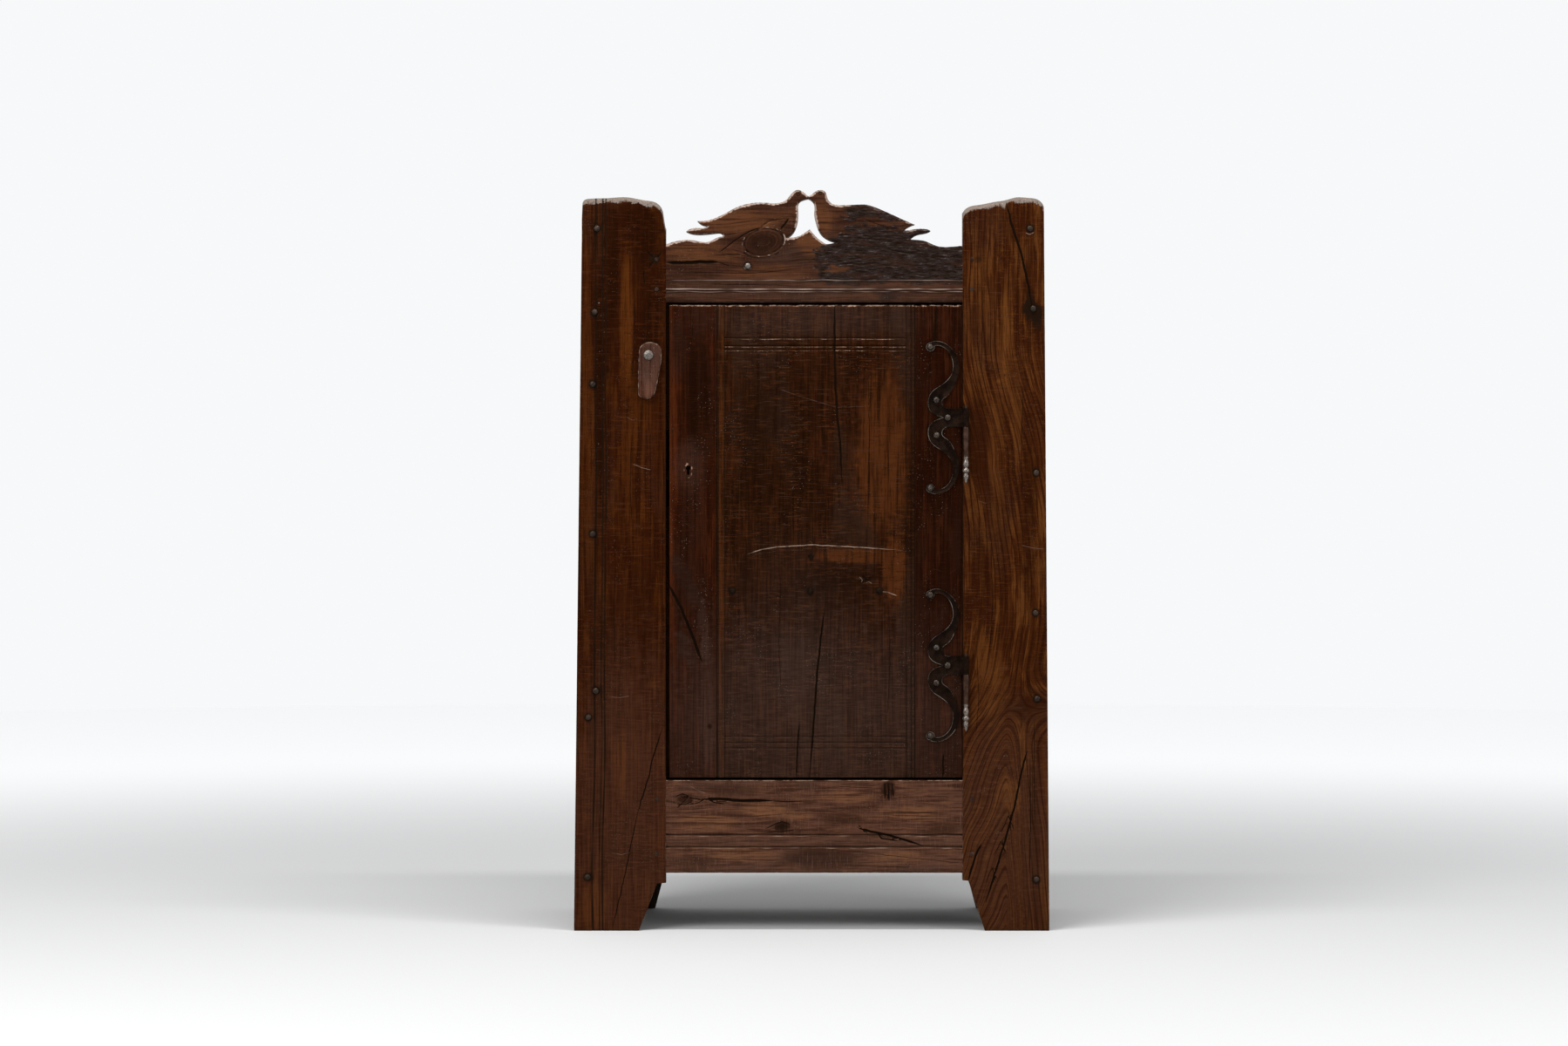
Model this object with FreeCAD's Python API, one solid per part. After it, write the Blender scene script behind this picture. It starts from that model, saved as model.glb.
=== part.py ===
# Boarded cupboard with a crest of two doves: case, door, iron hinges, turn button and lock.
# Lengths are millimetres. X runs to the right, Y from the front to the back, and Z up.

import FreeCAD, Part
import os

Vec = FreeCAD.Vector
os.makedirs("parts", exist_ok=True)

# The case as a whole: depth counts from the front of the stiles to the back of the boards
overall_width = 927.5
case_depth = 450.0
stile_height = 1431.5
stile_thick = 30.0
left_lean = 16.0
right_lean = 10.5
opening_width = 579.0
opening_shift = 5.2

# Cut feet and rounded tops of the two front stiles
left_foot_step = 17.0
left_foot_rise = 93.0
left_foot_toe = 35.7
left_crown_height = 62.0
right_foot_step = 11.3
right_foot_rise = 98.0
right_foot_toe = 32.3
right_crown_height = 40.8
left_crown_shares = [
    (0.0, 0.77), (0.03, 0.92), (0.1, 0.96), (0.32, 0.975), (0.54, 1.0),
    (0.74, 0.905), (0.876, 0.835), (0.942, 0.685), (0.97, 0.44), (1.0, 0.0),
]
right_crown_shares = [
    (0.0, 0.42), (0.027, 0.75), (0.08, 0.9), (0.2, 0.975), (0.33, 1.0),
    (0.46, 0.875), (0.62, 0.77), (0.78, 0.645), (0.92, 0.54), (0.98, 0.375), (1.0, 0.0),
]

# Crest rail and bottom rail, with their tenons and pegs
rail_recess = 1.0
rail_bottom = 113.0
rail_height = 180.6
crest_base = 1226.0
crest_height = 219.5
tenon_length = 70.0
tenon_thick = 9.0
tenon_shoulder = 12.0
crest_shoulder_share = 0.5
peg_radius = 4.0
peg_inset = 18.0
peg_proud = 0.8
peg_shares = (0.16, 0.84)
groove_width = 4.5
groove_depth = 1.8
crest_groove_heights = (20.4, 42.3)
rail_groove_heights = (51.0, 73.1)

# The crest's outline, in shares of the opening's width and of the crest's height
left_dove_shares = [
    [(0.0, 0.518), (0.032, 0.543), (0.069, 0.557), (0.112, 0.543), (0.142, 0.538),
     (0.167, 0.569), (0.192, 0.585)],
    [(0.192, 0.585), (0.188, 0.612), (0.167, 0.617), (0.116, 0.605), (0.068, 0.631)],
    [(0.068, 0.631), (0.085, 0.655), (0.109, 0.662), (0.126, 0.661), (0.14, 0.679)],
    [(0.14, 0.679), (0.123, 0.689), (0.106, 0.723)],
    [(0.106, 0.723), (0.137, 0.728), (0.163, 0.747), (0.211, 0.809), (0.242, 0.85),
     (0.279, 0.879), (0.311, 0.888), (0.347, 0.885), (0.389, 0.89), (0.405, 0.912),
     (0.419, 0.953), (0.432, 0.988), (0.446, 1.0), (0.46, 0.986), (0.48, 0.944)],
]
right_dove_shares = [
    [(0.48, 0.944), (0.493, 0.963), (0.505, 0.987), (0.522, 1.0), (0.537, 0.981),
     (0.543, 0.943), (0.548, 0.909), (0.559, 0.88), (0.576, 0.868), (0.615, 0.866),
     (0.647, 0.87), (0.68, 0.868), (0.713, 0.838), (0.753, 0.793), (0.799, 0.736), (0.839, 0.694)],
    [(0.839, 0.694), (0.82, 0.675), (0.802, 0.64)],
    [(0.802, 0.64), (0.815, 0.641), (0.832, 0.648), (0.864, 0.655), (0.88, 0.65), (0.892, 0.636)],
    [(0.892, 0.636), (0.871, 0.616), (0.845, 0.601), (0.833, 0.583), (0.824, 0.56)],
    [(0.824, 0.56), (0.85, 0.556), (0.871, 0.547), (0.894, 0.522), (0.92, 0.498),
     (0.955, 0.494), (1.0, 0.504)],
]
dove_window_shares = [
    [(0.48, 0.924), (0.462, 0.912), (0.451, 0.895), (0.446, 0.817), (0.446, 0.751),
     (0.442, 0.69), (0.43, 0.62), (0.404, 0.572)],
    [(0.404, 0.572), (0.423, 0.577), (0.446, 0.587), (0.472, 0.627), (0.485, 0.65)],
    [(0.485, 0.65), (0.498, 0.607), (0.516, 0.56), (0.54, 0.518)],
    [(0.54, 0.518), (0.553, 0.521), (0.573, 0.537)],
    [(0.573, 0.537), (0.547, 0.558), (0.52, 0.617), (0.507, 0.701), (0.5, 0.8),
     (0.499, 0.88), (0.492, 0.905), (0.48, 0.924)],
]

# Side boards: two planks a side, set in from the stiles' edges and cut below as feet
side_set_in = 10.0
side_thick = 32.0
side_split_share = 0.5
side_foot = 95.0
side_arch_slant = 30.0
side_arch_rise = 95.0
horn_drop = 45.0
horn_length = 70.0
horn_sag_share = 0.3

# Boards across the inside, from side to side
top_level = 1309.0
top_thick = 24.0
floor_level = 288.0
floor_thick = 22.0
shelf_levels = {"lower": 600.0, "upper": 900.0}
shelf_thick = 20.0
shelf_setback = 35.0
board_split_share = 0.48
cleat_width = 24.0
cleat_height = 30.0

# Back boards, between two back stiles that go down to the floor
back_thick = 22.0
left_back_stile_width = 153.75
right_back_stile_width = 130.75
back_foot_rise = 75.0
back_foot_toe = 20.0
back_board_count = 3

# Door: its gaps to the frame, its three boards and its scratched lines
door_recess = 1.0
door_gap_left = 6.8
door_gap_right = 0.9
door_gap_top = 5.0
door_gap_bottom = 5.4
door_left_board = 92.0
door_right_board = 92.7
line_drops = (64.6, 80.0, 87.4)
line_rises = (57.1, 68.2, 79.7)
left_line_steps = (-5.0, 3.5, 13.0)
right_line_steps = (-17.0, -7.3)
batten_thick = 22.0
batten_height = 95.0
batten_inset = 40.0
batten_levels = {"bottom": 370.0, "middle": 696.5, "top": 1150.0}

# Door stops on the back of the left stile, above and below the lock
stop_gap = 0.5
stop_width = 32.0
stop_lap = 12.0
stop_thick = 16.0
stop_clear_of_lock = 75.0

# Hinges: iron straps with a knuckle that turns on a pintle
pin_side_step = 6.0
pin_radius = 3.2
pin_play = 0.05
pin_over = 6.0
knuckle_radius = 6.1
knuckle_gap = 1.4
knuckle_half = 18.0
shoulder_gap = 0.2
hinge_levels = {"lower": 518.0, "upper": 1001.0}
strap_thick = 4.0
strap_reach = 74.0
strap_half = 149.5
strap_end_radius = 8.3
neck_lap = 5.0
scroll_outer_shares = [
    (0.466, 0.12), (0.564, 0.14), (0.624, 0.187), (0.616, 0.226), (0.522, 0.268),
    (0.386, 0.334), (0.305, 0.415), (0.223, 0.508), (0.17, 0.616), (0.184, 0.71),
    (0.25, 0.817), (0.386, 0.911), (0.549, 0.971), (0.738, 0.999), (0.928, 0.985),
]
scroll_inner_shares = [
    (0.85, 0.93), (0.657, 0.931), (0.522, 0.892), (0.4, 0.811), (0.345, 0.71),
    (0.345, 0.629), (0.4, 0.549), (0.522, 0.476), (0.685, 0.415), (0.847, 0.361),
    (0.955, 0.294), (0.997, 0.214), (0.984, 0.133), (0.9, 0.066), (0.765, 0.026), (0.595, 0.0),
]
scroll_end_share = (0.935, 0.921)
hinge_nail_shares = [(0.935, 0.921), (0.774, 0.231), (0.478, 0.0), (0.774, -0.231), (0.935, -0.921)]
pintle_drop = 111.0
pintle_radius = 7.2
pintle_profile_shares = [
    [(0.78, 0.0), (0.9, 0.06), (0.84, 0.25), (0.72, 0.45), (0.66, 0.54)],
    [(0.66, 0.54), (0.5, 0.575)],
    [(0.5, 0.575), (0.83, 0.65), (0.5, 0.72)],
    [(0.5, 0.72), (1.0, 0.768), (0.5, 0.815)],
    [(0.5, 0.815), (0.76, 0.875), (0.42, 0.93)],
    [(0.42, 0.93), (0.3, 0.97), (0.0, 1.0)],
]
spike_level_share = 0.28
spike_width = 6.0
spike_height = 10.0
spike_depth = 24.0

# Turn button on the left stile, drawn as it hangs: its nose points down
button_inset = 33.4
button_level = 1122.4
button_gap = 0.4
button_thick = 16.0
button_reach = 84.5
button_rise = 25.0
button_play = 0.3
button_pin_radius = 3.0
button_pin_depth = 25.0
button_head_radius = 10.0
button_head_height = 4.0
button_outline_shares = [
    [(-0.16, 0.96), (0.1, 1.0), (0.365, 0.856), (0.78, 0.564), (0.966, 0.252), (1.0, -0.03),
     (0.994, -0.37), (0.92, -0.784)],
    [(0.92, -0.784), (0.316, -0.796), (-0.1, -0.736)],
    [(-0.1, -0.736), (-0.25, -0.44), (-0.28, 0.51), (-0.16, 0.96)],
]

# Lock inside the door's left board, and its keeper on the back of the stile
keyhole_inset = 36.8
keyhole_level = 903.0
keyhole_radius = 4.3
keyhole_slot_half = 2.2
keyhole_slot_drop = 13.0
lock_edge_inset = 3.0
lock_plate_thick = 2.0
lock_plate_half = 60.0
lock_width = 82.0
lock_half = 40.0
lock_depth = 18.0
lock_wall = 2.0
bolt_rise = 14.0
bolt_half = 5.0
bolt_thick = 6.0
bolt_length = 66.0
bolt_play = 0.3
bolt_throw = 20.0
bolt_notch_width = 9.0
bolt_notch_depth = 3.0
keeper_gap = 1.0
keeper_half = 26.0
keeper_wall = 4.5
keeper_play = 1.0
keeper_overtravel = 2.0

# Nails
nail_shank = 5.0
nail_head_radius = 6.2
nail_head_height = 3.5
nail_head_top_share = 0.4
small_shank = 3.6
small_head_radius = 5.0
small_head_height = 2.5
hinge_head_radius = 6.3
stile_nail_bite = 45.0
board_nail_bite = 32.0
hinge_nail_bite = 18.0
lock_nail_bite = 16.0
small_nail_bite = 14.0
left_nail_shares = [
    (0.957, 0.62), (0.843, 0.52), (0.745, 0.46), (0.541, 0.56), (0.327, 0.85),
    (0.291, 0.42), (0.073, 0.48),
]
right_nail_shares = [
    (0.957, 0.54), (0.848, 0.39), (0.624, 0.28), (0.433, 0.39), (0.316, 0.33), (0.07, 0.46),
]
crest_nail_share = 0.276
side_nail_shares = (0.2, 0.4, 0.65, 0.85)
back_nail_shares = (0.27, 0.73)
back_stile_nail_shares = (0.1, 0.35, 0.6, 0.85)
cleat_nail_shares = (0.3, 0.75)
face_nail_shares = [(0.483, 0.36), (0.214, -0.35), (0.481, -0.36), (0.717, -0.35)]
batten_nail_shares = [(0.05, 0.2), (0.28, -0.2), (0.5, 0.2), (0.72, -0.2), (0.95, 0.2)]

# How far a cutting shape runs past the face that it cuts
overrun = 5.0

left = -1
right = 1
up = Vec(0, 0, 1)

# Places that the sizes above settle
inner_x = {side: opening_shift + side * opening_width / 2 for side in (left, right)}
back_front = case_depth - back_thick
door_left = inner_x[left] + door_gap_left
door_right = inner_x[right] - door_gap_right
door_bottom = rail_bottom + rail_height + door_gap_bottom
door_top = crest_base - door_gap_top
door_back = stile_thick - stop_gap
door_joints = (door_left + door_left_board, door_right - door_right_board)
batten_back = door_back + batten_thick
shelf_front = stile_thick + shelf_setback
pin_x = inner_x[right] + pin_side_step
pin_y = -(knuckle_radius + knuckle_gap)
strap_front = door_recess - strap_thick
button_x = inner_x[left] - button_inset
button_front = -(button_gap + button_thick)
button_head_back = button_front - button_play
front_reach = button_head_height - button_head_back
lock_left = door_left + lock_edge_inset
lock_front = door_back + lock_plate_thick
lock_back = lock_front + lock_depth
keyhole_x = door_left + keyhole_inset
bolt_level = keyhole_level + bolt_rise
bolt_front = lock_front + (lock_depth - bolt_thick) / 2

# The model's origin is under the middle of its whole box, ironwork and nail heads included
centre_y = (case_depth + nail_head_height - front_reach) / 2

pieces = {}


def outer_x(side, level, set_in=0):
    """The outer edge of a stile, which leans in a little towards the top."""
    lean = left_lean if side == left else right_lean
    return side * (overall_width / 2 - lean * level / stile_height - set_in)


def lines(*corners):
    """Straight runs from corner to corner."""
    return [[start, end] for start, end in zip(corners, corners[1:])]


def ring(*corners):
    """Straight runs that go round and close."""
    return lines(*corners, corners[0])


def face_of(runs, place):
    """A flat face whose edge follows the runs: two points make a line, more make a curve."""
    edges = []
    for run in runs:
        points = [place(*point) for point in run]
        if len(points) == 2:
            edges.append(Part.makeLine(*points))
        else:
            curve = Part.BSplineCurve()
            curve.interpolate(points)
            edges.append(curve.toShape())
    return Part.Face(Part.Wire(edges))


def seen_from_front(runs, front, back):
    """A piece with this outline in X and Z."""
    return face_of(runs, lambda x, z: Vec(x, front, z)).extrude(Vec(0, back - front, 0))


def seen_from_side(runs, start, end):
    """A piece with this outline in Y and Z."""
    return face_of(runs, lambda y, z: Vec(start, y, z)).extrude(Vec(end - start, 0, 0))


def seen_from_above(runs, bottom, top):
    """A piece with this outline in X and Y."""
    return face_of(runs, lambda x, y: Vec(x, y, bottom)).extrude(Vec(0, 0, top - bottom))


def block(x_range, y_range, z_range):
    """A plain block between two corners."""
    low, high = zip(x_range, y_range, z_range)
    return Part.makeBox(*[b - a for a, b in zip(low, high)], Vec(*low))


def line_across(face, level, start, end):
    """The V that a scratch tool leaves along a board's front."""
    half = groove_width / 2
    runs = ring((face - overrun, level - half), (face, level - half), (face + groove_depth, level),
                (face, level + half), (face - overrun, level + half))
    return seen_from_side(runs, start, end)


def line_up(face, x, bottom, top):
    """The same V along an upright board."""
    half = groove_width / 2
    runs = ring((x - half, face - overrun), (x - half, face), (x, face + groove_depth),
                (x + half, face), (x + half, face - overrun))
    return seen_from_above(runs, bottom, top)


def nail(seat, outward, bite, shank=nail_shank, radius=nail_head_radius, height=nail_head_height):
    """A wrought nail with a square shank; seat is the point under its head."""
    body = Part.makeBox(shank, shank, bite, Vec(-shank / 2, -shank / 2, -bite))
    head = Part.makeCone(radius, radius * nail_head_top_share, height)
    whole = body.fuse(head)
    whole.Placement = FreeCAD.Placement(seat, FreeCAD.Rotation(up, outward))
    return whole


def cut_into(names, cutters):
    """Let other pieces, such as nails and tenons, into the named boards."""
    for name in names:
        for cutter in cutters:
            pieces[name] = pieces[name].cut(pieces[cutter])


# Front stiles: wide planks with a cut foot and a rounded top
def front_stile(side, foot_step, foot_rise, foot_toe, crown_height, crown_shares):
    edge = inner_x[side]
    top_edge = outer_x(side, stile_height)
    crown_base = stile_height - crown_height
    crown = [(top_edge + across * (edge - top_edge), crown_base + rise * crown_height)
             for across, rise in crown_shares]
    runs = lines(crown[0], (outer_x(side, 0), 0), (edge + side * (foot_step + foot_toe), 0),
                 (edge + side * foot_step, foot_rise), (edge, foot_rise), crown[-1])
    return seen_from_front(runs + [crown[::-1]], 0, stile_thick)


pieces["left_front_stile"] = front_stile(
    left, left_foot_step, left_foot_rise, left_foot_toe, left_crown_height, left_crown_shares)
pieces["right_front_stile"] = front_stile(
    right, right_foot_step, right_foot_rise, right_foot_toe, right_crown_height, right_crown_shares)


# Rails: a tenon at each end goes into the stiles
def tenon_bar(bottom, top):
    front = rail_recess + (stile_thick - rail_recess - tenon_thick) / 2
    return block((inner_x[left] - tenon_length, inner_x[right] + tenon_length),
                 (front, front + tenon_thick), (bottom, top))


def crest_point(across, rise):
    return inner_x[left] + across * opening_width, crest_base + rise * crest_height


def crest_runs(share_runs):
    return [[crest_point(*share) for share in run] for run in share_runs]


crest_tenon = (crest_base + tenon_shoulder,
               crest_base + crest_height * crest_shoulder_share - tenon_shoulder)
rail_tenon = (rail_bottom + tenon_shoulder, rail_bottom + rail_height - tenon_shoulder)
dove_runs = crest_runs(left_dove_shares + right_dove_shares)
crest_base_line = lines(dove_runs[-1][-1], crest_point(1, 0), crest_point(0, 0), dove_runs[0][0])
crest = seen_from_front(dove_runs + crest_base_line, rail_recess, stile_thick)
crest = crest.cut(seen_from_front(crest_runs(dove_window_shares), rail_recess - overrun,
                                  stile_thick + overrun))
crest = crest.fuse(tenon_bar(*crest_tenon)).removeSplitter()
rail = block(tuple(inner_x.values()), (rail_recess, stile_thick),
             (rail_bottom, rail_bottom + rail_height))
rail = rail.fuse(tenon_bar(*rail_tenon)).removeSplitter()
for height in crest_groove_heights:
    crest = crest.cut(line_across(rail_recess, crest_base + height, *inner_x.values()))
for height in rail_groove_heights:
    rail = rail.cut(line_across(rail_recess, rail_bottom + height, *inner_x.values()))
pieces["crest_rail"] = crest
pieces["bottom_rail"] = rail

# Pegs through the stiles and tenons
pegs = []
for side in (left, right):
    for bottom, top in (crest_tenon, rail_tenon):
        for share in peg_shares:
            foot = Vec(inner_x[side] + side * peg_inset, -peg_proud, bottom + share * (top - bottom))
            pegs.append(Part.makeCylinder(peg_radius, peg_proud + stile_thick, foot, Vec(0, 1, 0)))
pieces["frame_pegs"] = Part.makeCompound(pegs)


# Side boards, which lean with the stiles' edges
def side_slab(side, front, back, top):
    depth = side_set_in + side_thick
    return seen_from_front(
        ring((outer_x(side, 0, side_set_in), 0), (outer_x(side, top, side_set_in), top),
             (outer_x(side, top, depth), top), (outer_x(side, 0, depth), 0)), front, back)


side_split = stile_thick + side_split_share * (back_front - stile_thick)
horn_level = stile_height - horn_drop
foot_front = stile_thick + side_foot
foot_back = back_front - side_foot
foot_arch = seen_from_side(
    ring((foot_front, 0), (foot_front + side_arch_slant, side_arch_rise),
         (foot_back - side_arch_slant, side_arch_rise), (foot_back, 0)),
    -overall_width, overall_width)
sweep_start = (stile_thick + horn_length, horn_level)
sweep_end = (side_split, top_level)
sweep_middle = (sweep_start[0] + (sweep_end[0] - sweep_start[0]) * horn_sag_share,
                sweep_end[1] + (sweep_start[1] - sweep_end[1]) * horn_sag_share)
horn_sweep = seen_from_side(
    [[sweep_start, sweep_middle, sweep_end]]
    + lines(sweep_end, (sweep_end[0] + overrun, sweep_end[1]),
            (sweep_end[0] + overrun, sweep_start[1] + overrun),
            (sweep_start[0], sweep_start[1] + overrun), sweep_start),
    -overall_width, overall_width)
for side, word in ((left, "left"), (right, "right")):
    front_plank = side_slab(side, stile_thick, side_split, horn_level)
    pieces[word + "_side_front_board"] = front_plank.cut(horn_sweep).cut(foot_arch)
    pieces[word + "_side_back_board"] = side_slab(side, side_split, back_front, top_level).cut(foot_arch)


# Boards from side to side: top, floor and shelves
def cross_board(top, thick, front, back):
    bottom = top - thick
    depth = side_set_in + side_thick
    return seen_from_front(
        ring((outer_x(left, bottom, depth), bottom), (outer_x(right, bottom, depth), bottom),
             (outer_x(right, top, depth), top), (outer_x(left, top, depth), top)), front, back)


board_split = stile_thick + board_split_share * (back_front - stile_thick)
pieces["top_front_board"] = cross_board(top_level, top_thick, stile_thick, board_split)
pieces["top_back_board"] = cross_board(top_level, top_thick, board_split, back_front)
pieces["floor_front_board"] = cross_board(floor_level, floor_thick, stile_thick, board_split)
pieces["floor_back_board"] = cross_board(floor_level, floor_thick, board_split, back_front)
for word, level in shelf_levels.items():
    pieces[word + "_shelf"] = cross_board(level, shelf_thick, shelf_front, back_front)


# Cleats under those boards, one on each side
def cleats(top, front):
    bottom = top - cleat_height
    depth = side_set_in + side_thick
    return [seen_from_front(
        ring((outer_x(side, bottom, depth), bottom), (outer_x(side, top, depth), top),
             (outer_x(side, top, depth + cleat_width), top),
             (outer_x(side, bottom, depth + cleat_width), bottom)), front, back_front)
            for side in (left, right)]


pieces["top_cleats"] = Part.makeCompound(cleats(top_level - top_thick, stile_thick))
pieces["floor_cleats"] = Part.makeCompound(cleats(floor_level - floor_thick, stile_thick))
for word, level in shelf_levels.items():
    pieces[word + "_shelf_cleats"] = Part.makeCompound(cleats(level - shelf_thick, shelf_front))

# Back stiles, whose feet reach the floor, and the boards between them
back_inner_x = {
    left: outer_x(left, 0, side_set_in) + left_back_stile_width,
    right: outer_x(right, 0, side_set_in) - right_back_stile_width,
}
for side, word in ((left, "left"), (right, "right")):
    edge = back_inner_x[side]
    pieces[word + "_back_stile"] = seen_from_front(
        ring((outer_x(side, 0, side_set_in), 0), (edge + side * back_foot_toe, 0),
             (edge, back_foot_rise), (edge, top_level),
             (outer_x(side, top_level, side_set_in), top_level)), back_front, case_depth)
back_board_width = (back_inner_x[right] - back_inner_x[left]) / back_board_count
back_board_names = []
for index in range(back_board_count):
    start = back_inner_x[left] + index * back_board_width
    back_board_names.append("back_board_%d" % (index + 1))
    pieces[back_board_names[-1]] = block(
        (start, start + back_board_width), (back_front, case_depth), (rail_bottom, top_level))

# Door stops behind the left stile, clear of the lock
stop_right = inner_x[left] + stop_lap
stop_spans = [(rail_bottom + rail_height, keyhole_level - stop_clear_of_lock),
              (keyhole_level + stop_clear_of_lock, crest_base)]
pieces["door_stops"] = Part.makeCompound(
    [block((stop_right - stop_width, stop_right), (stile_thick, stile_thick + stop_thick), span)
     for span in stop_spans])

# Door boards, with their scratched lines
door_ranges = {
    "left": (door_left, door_joints[0]),
    "centre": door_joints,
    "right": (door_joints[1], door_right),
}
for word, x_range in door_ranges.items():
    pieces["door_%s_board" % word] = block(x_range, (door_recess, door_back), (door_bottom, door_top))
line_ups = ([door_joints[0] + step for step in left_line_steps]
            + [door_joints[1] + step for step in right_line_steps])
for x in line_ups:
    word = "left" if x < door_joints[0] else "centre"
    name = "door_%s_board" % word
    pieces[name] = pieces[name].cut(line_up(door_recess, x, door_bottom, door_top))
line_levels = [door_top - drop for drop in line_drops] + [door_bottom + rise for rise in line_rises]
for level in line_levels:
    pieces["door_centre_board"] = pieces["door_centre_board"].cut(
        line_across(door_recess, level, line_ups[2], line_ups[3]))

# Battens across the back of the door
for word, level in batten_levels.items():
    pieces["door_%s_batten" % word] = block(
        (door_left + batten_inset, door_right - batten_inset), (door_back, batten_back),
        (level - batten_height / 2, level + batten_height / 2))


# Hinge straps: two iron crescents back to back, a leaf and a knuckle
def strap(level):
    leaf_end = pin_x - door_right

    def place(reach, rise):
        return Vec(pin_x - reach * strap_reach, strap_front, level + rise * strap_half)

    leaf_share = leaf_end / strap_reach
    knuckle_share = knuckle_half / strap_half
    outer = [(scroll_outer_shares[0][0], knuckle_share)] + scroll_outer_shares[1:]
    runs = (lines(scroll_inner_shares[-1], (leaf_share, 0), (leaf_share, knuckle_share), outer[0])
            + [outer] + lines(outer[-1], scroll_inner_shares[0]) + [scroll_inner_shares])
    half = face_of(runs, place).extrude(Vec(0, strap_thick, 0))
    end = Part.makeCylinder(strap_end_radius, strap_thick, place(*scroll_end_share), Vec(0, 1, 0))
    half = half.fuse(end)
    whole = half.fuse(half.mirror(Vec(0, 0, level), up))
    bottom = level - knuckle_half
    neck = block((door_right - neck_lap, pin_x), (pin_y, -knuckle_gap), (bottom, level + knuckle_half))
    knuckle = Part.makeCylinder(knuckle_radius, 2 * knuckle_half, Vec(pin_x, pin_y, bottom))
    hole = Part.makeCylinder(pin_radius + pin_play, 2 * knuckle_half + 2 * overrun,
                             Vec(pin_x, pin_y, bottom - overrun))
    return whole.fuse([neck, knuckle]).cut(hole).removeSplitter()


# Pintles: the pin stands on a turned drop with a finial, and a spike holds it in the stile
def pintle(level):
    shoulder = level - knuckle_half - shoulder_gap

    def place(out, down):
        return Vec(pin_x + out * pintle_radius, pin_y, shoulder - down * pintle_drop)

    start = pintle_profile_shares[0][0]
    runs = pintle_profile_shares + lines((0, 1), (0, 0), start)
    drop = face_of(runs, place).revolve(Vec(pin_x, pin_y, 0), up, 360)
    pin = Part.makeCylinder(pin_radius, shoulder_gap + 2 * knuckle_half + pin_over,
                            Vec(pin_x, pin_y, shoulder))
    spike_level = shoulder - spike_level_share * pintle_drop
    spike = block((pin_x - spike_width / 2, pin_x + spike_width / 2), (pin_y, spike_depth),
                  (spike_level - spike_height / 2, spike_level + spike_height / 2))
    return drop.fuse([pin, spike]).removeSplitter()


hinge_nails = []
for word, level in hinge_levels.items():
    pieces[word + "_hinge_strap"] = strap(level)
    pieces[word + "_pintle"] = pintle(level)
    for reach, rise in hinge_nail_shares:
        seat = Vec(pin_x - reach * strap_reach, strap_front, level + rise * strap_half)
        hinge_nails.append(nail(seat, Vec(0, -1, 0), strap_thick + hinge_nail_bite,
                                small_shank, hinge_head_radius, nail_head_height))
pieces["hinge_nails"] = Part.makeCompound(hinge_nails)


# Turn button, hanging nose down from its nail
def button_point(along, rise):
    return button_x + rise * button_rise, button_level - along * button_reach


button_runs = [[button_point(*share) for share in run] for run in button_outline_shares]
button = seen_from_front(button_runs, button_front, -button_gap)
button_centre = Vec(button_x, button_head_back, button_level)
inward = Vec(0, 1, 0)
button_hole = Part.makeCylinder(button_pin_radius + pin_play, button_thick + 2 * overrun,
                                button_centre - inward * overrun, inward)
button_pin = Part.makeCylinder(button_pin_radius, button_pin_depth - button_head_back,
                               button_centre, inward)
button_head = Part.makeCone(button_head_radius, button_head_radius * nail_head_top_share,
                            button_head_height, button_centre, -inward)
pieces["turn_button"] = button.cut(button_hole)
pieces["button_nail"] = button_pin.fuse(button_head)

# Lock: a plate on the door, a case over it, a sliding bolt, and a keeper behind the stile
keyhole = Part.makeCylinder(keyhole_radius, stile_thick + 2 * overrun,
                            Vec(keyhole_x, -overrun, keyhole_level), inward)
keyhole = keyhole.fuse(block(
    (keyhole_x - keyhole_slot_half, keyhole_x + keyhole_slot_half),
    (-overrun, stile_thick + overrun), (keyhole_level - keyhole_slot_drop, keyhole_level)))
lock_right = lock_left + lock_width
case_z = (keyhole_level - lock_half, keyhole_level + lock_half)
bolt_z = (bolt_level - bolt_half, bolt_level + bolt_half)
plate = block((lock_left, lock_right), (door_back, lock_front),
              (keyhole_level - lock_plate_half, keyhole_level + lock_plate_half))
case = block((lock_left, lock_right), (lock_front, lock_back), case_z)
case = case.cut(block((lock_left + lock_wall, lock_right - lock_wall),
                      (lock_front - overrun, lock_back - lock_wall),
                      (case_z[0] + lock_wall, case_z[1] - lock_wall)))
case = case.cut(block((lock_left - overrun, lock_left + lock_wall + overrun),
                      (bolt_front - bolt_play, bolt_front + bolt_thick + bolt_play),
                      (bolt_z[0] - bolt_play, bolt_z[1] + bolt_play)))
bolt = block((lock_left, lock_left + bolt_length), (bolt_front, bolt_front + bolt_thick), bolt_z)
notch = block((keyhole_x - bolt_notch_width / 2, keyhole_x + bolt_notch_width / 2),
              (bolt_front - overrun, bolt_front + bolt_thick + overrun),
              (bolt_z[0] - overrun, bolt_z[0] + bolt_notch_depth))
pieces["door_left_board"] = pieces["door_left_board"].cut(keyhole)
pieces["lock_plate"] = plate.cut(keyhole)
pieces["lock_case"] = case
pieces["lock_bolt"] = bolt.cut(notch)

keeper_right = inner_x[left] - keeper_gap
pocket_left = lock_left - bolt_throw - keeper_overtravel
pocket_y = (bolt_front - keeper_play, bolt_front + bolt_thick + keeper_play)
keeper_back = pocket_y[1] + keeper_wall
keeper = block((pocket_left - keeper_wall, keeper_right), (stile_thick, keeper_back),
               (bolt_level - keeper_half, bolt_level + keeper_half))
pieces["lock_keeper"] = keeper.cut(block(
    (pocket_left, keeper_right + overrun), pocket_y, (bolt_z[0] - keeper_play, bolt_z[1] + keeper_play)))

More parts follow.
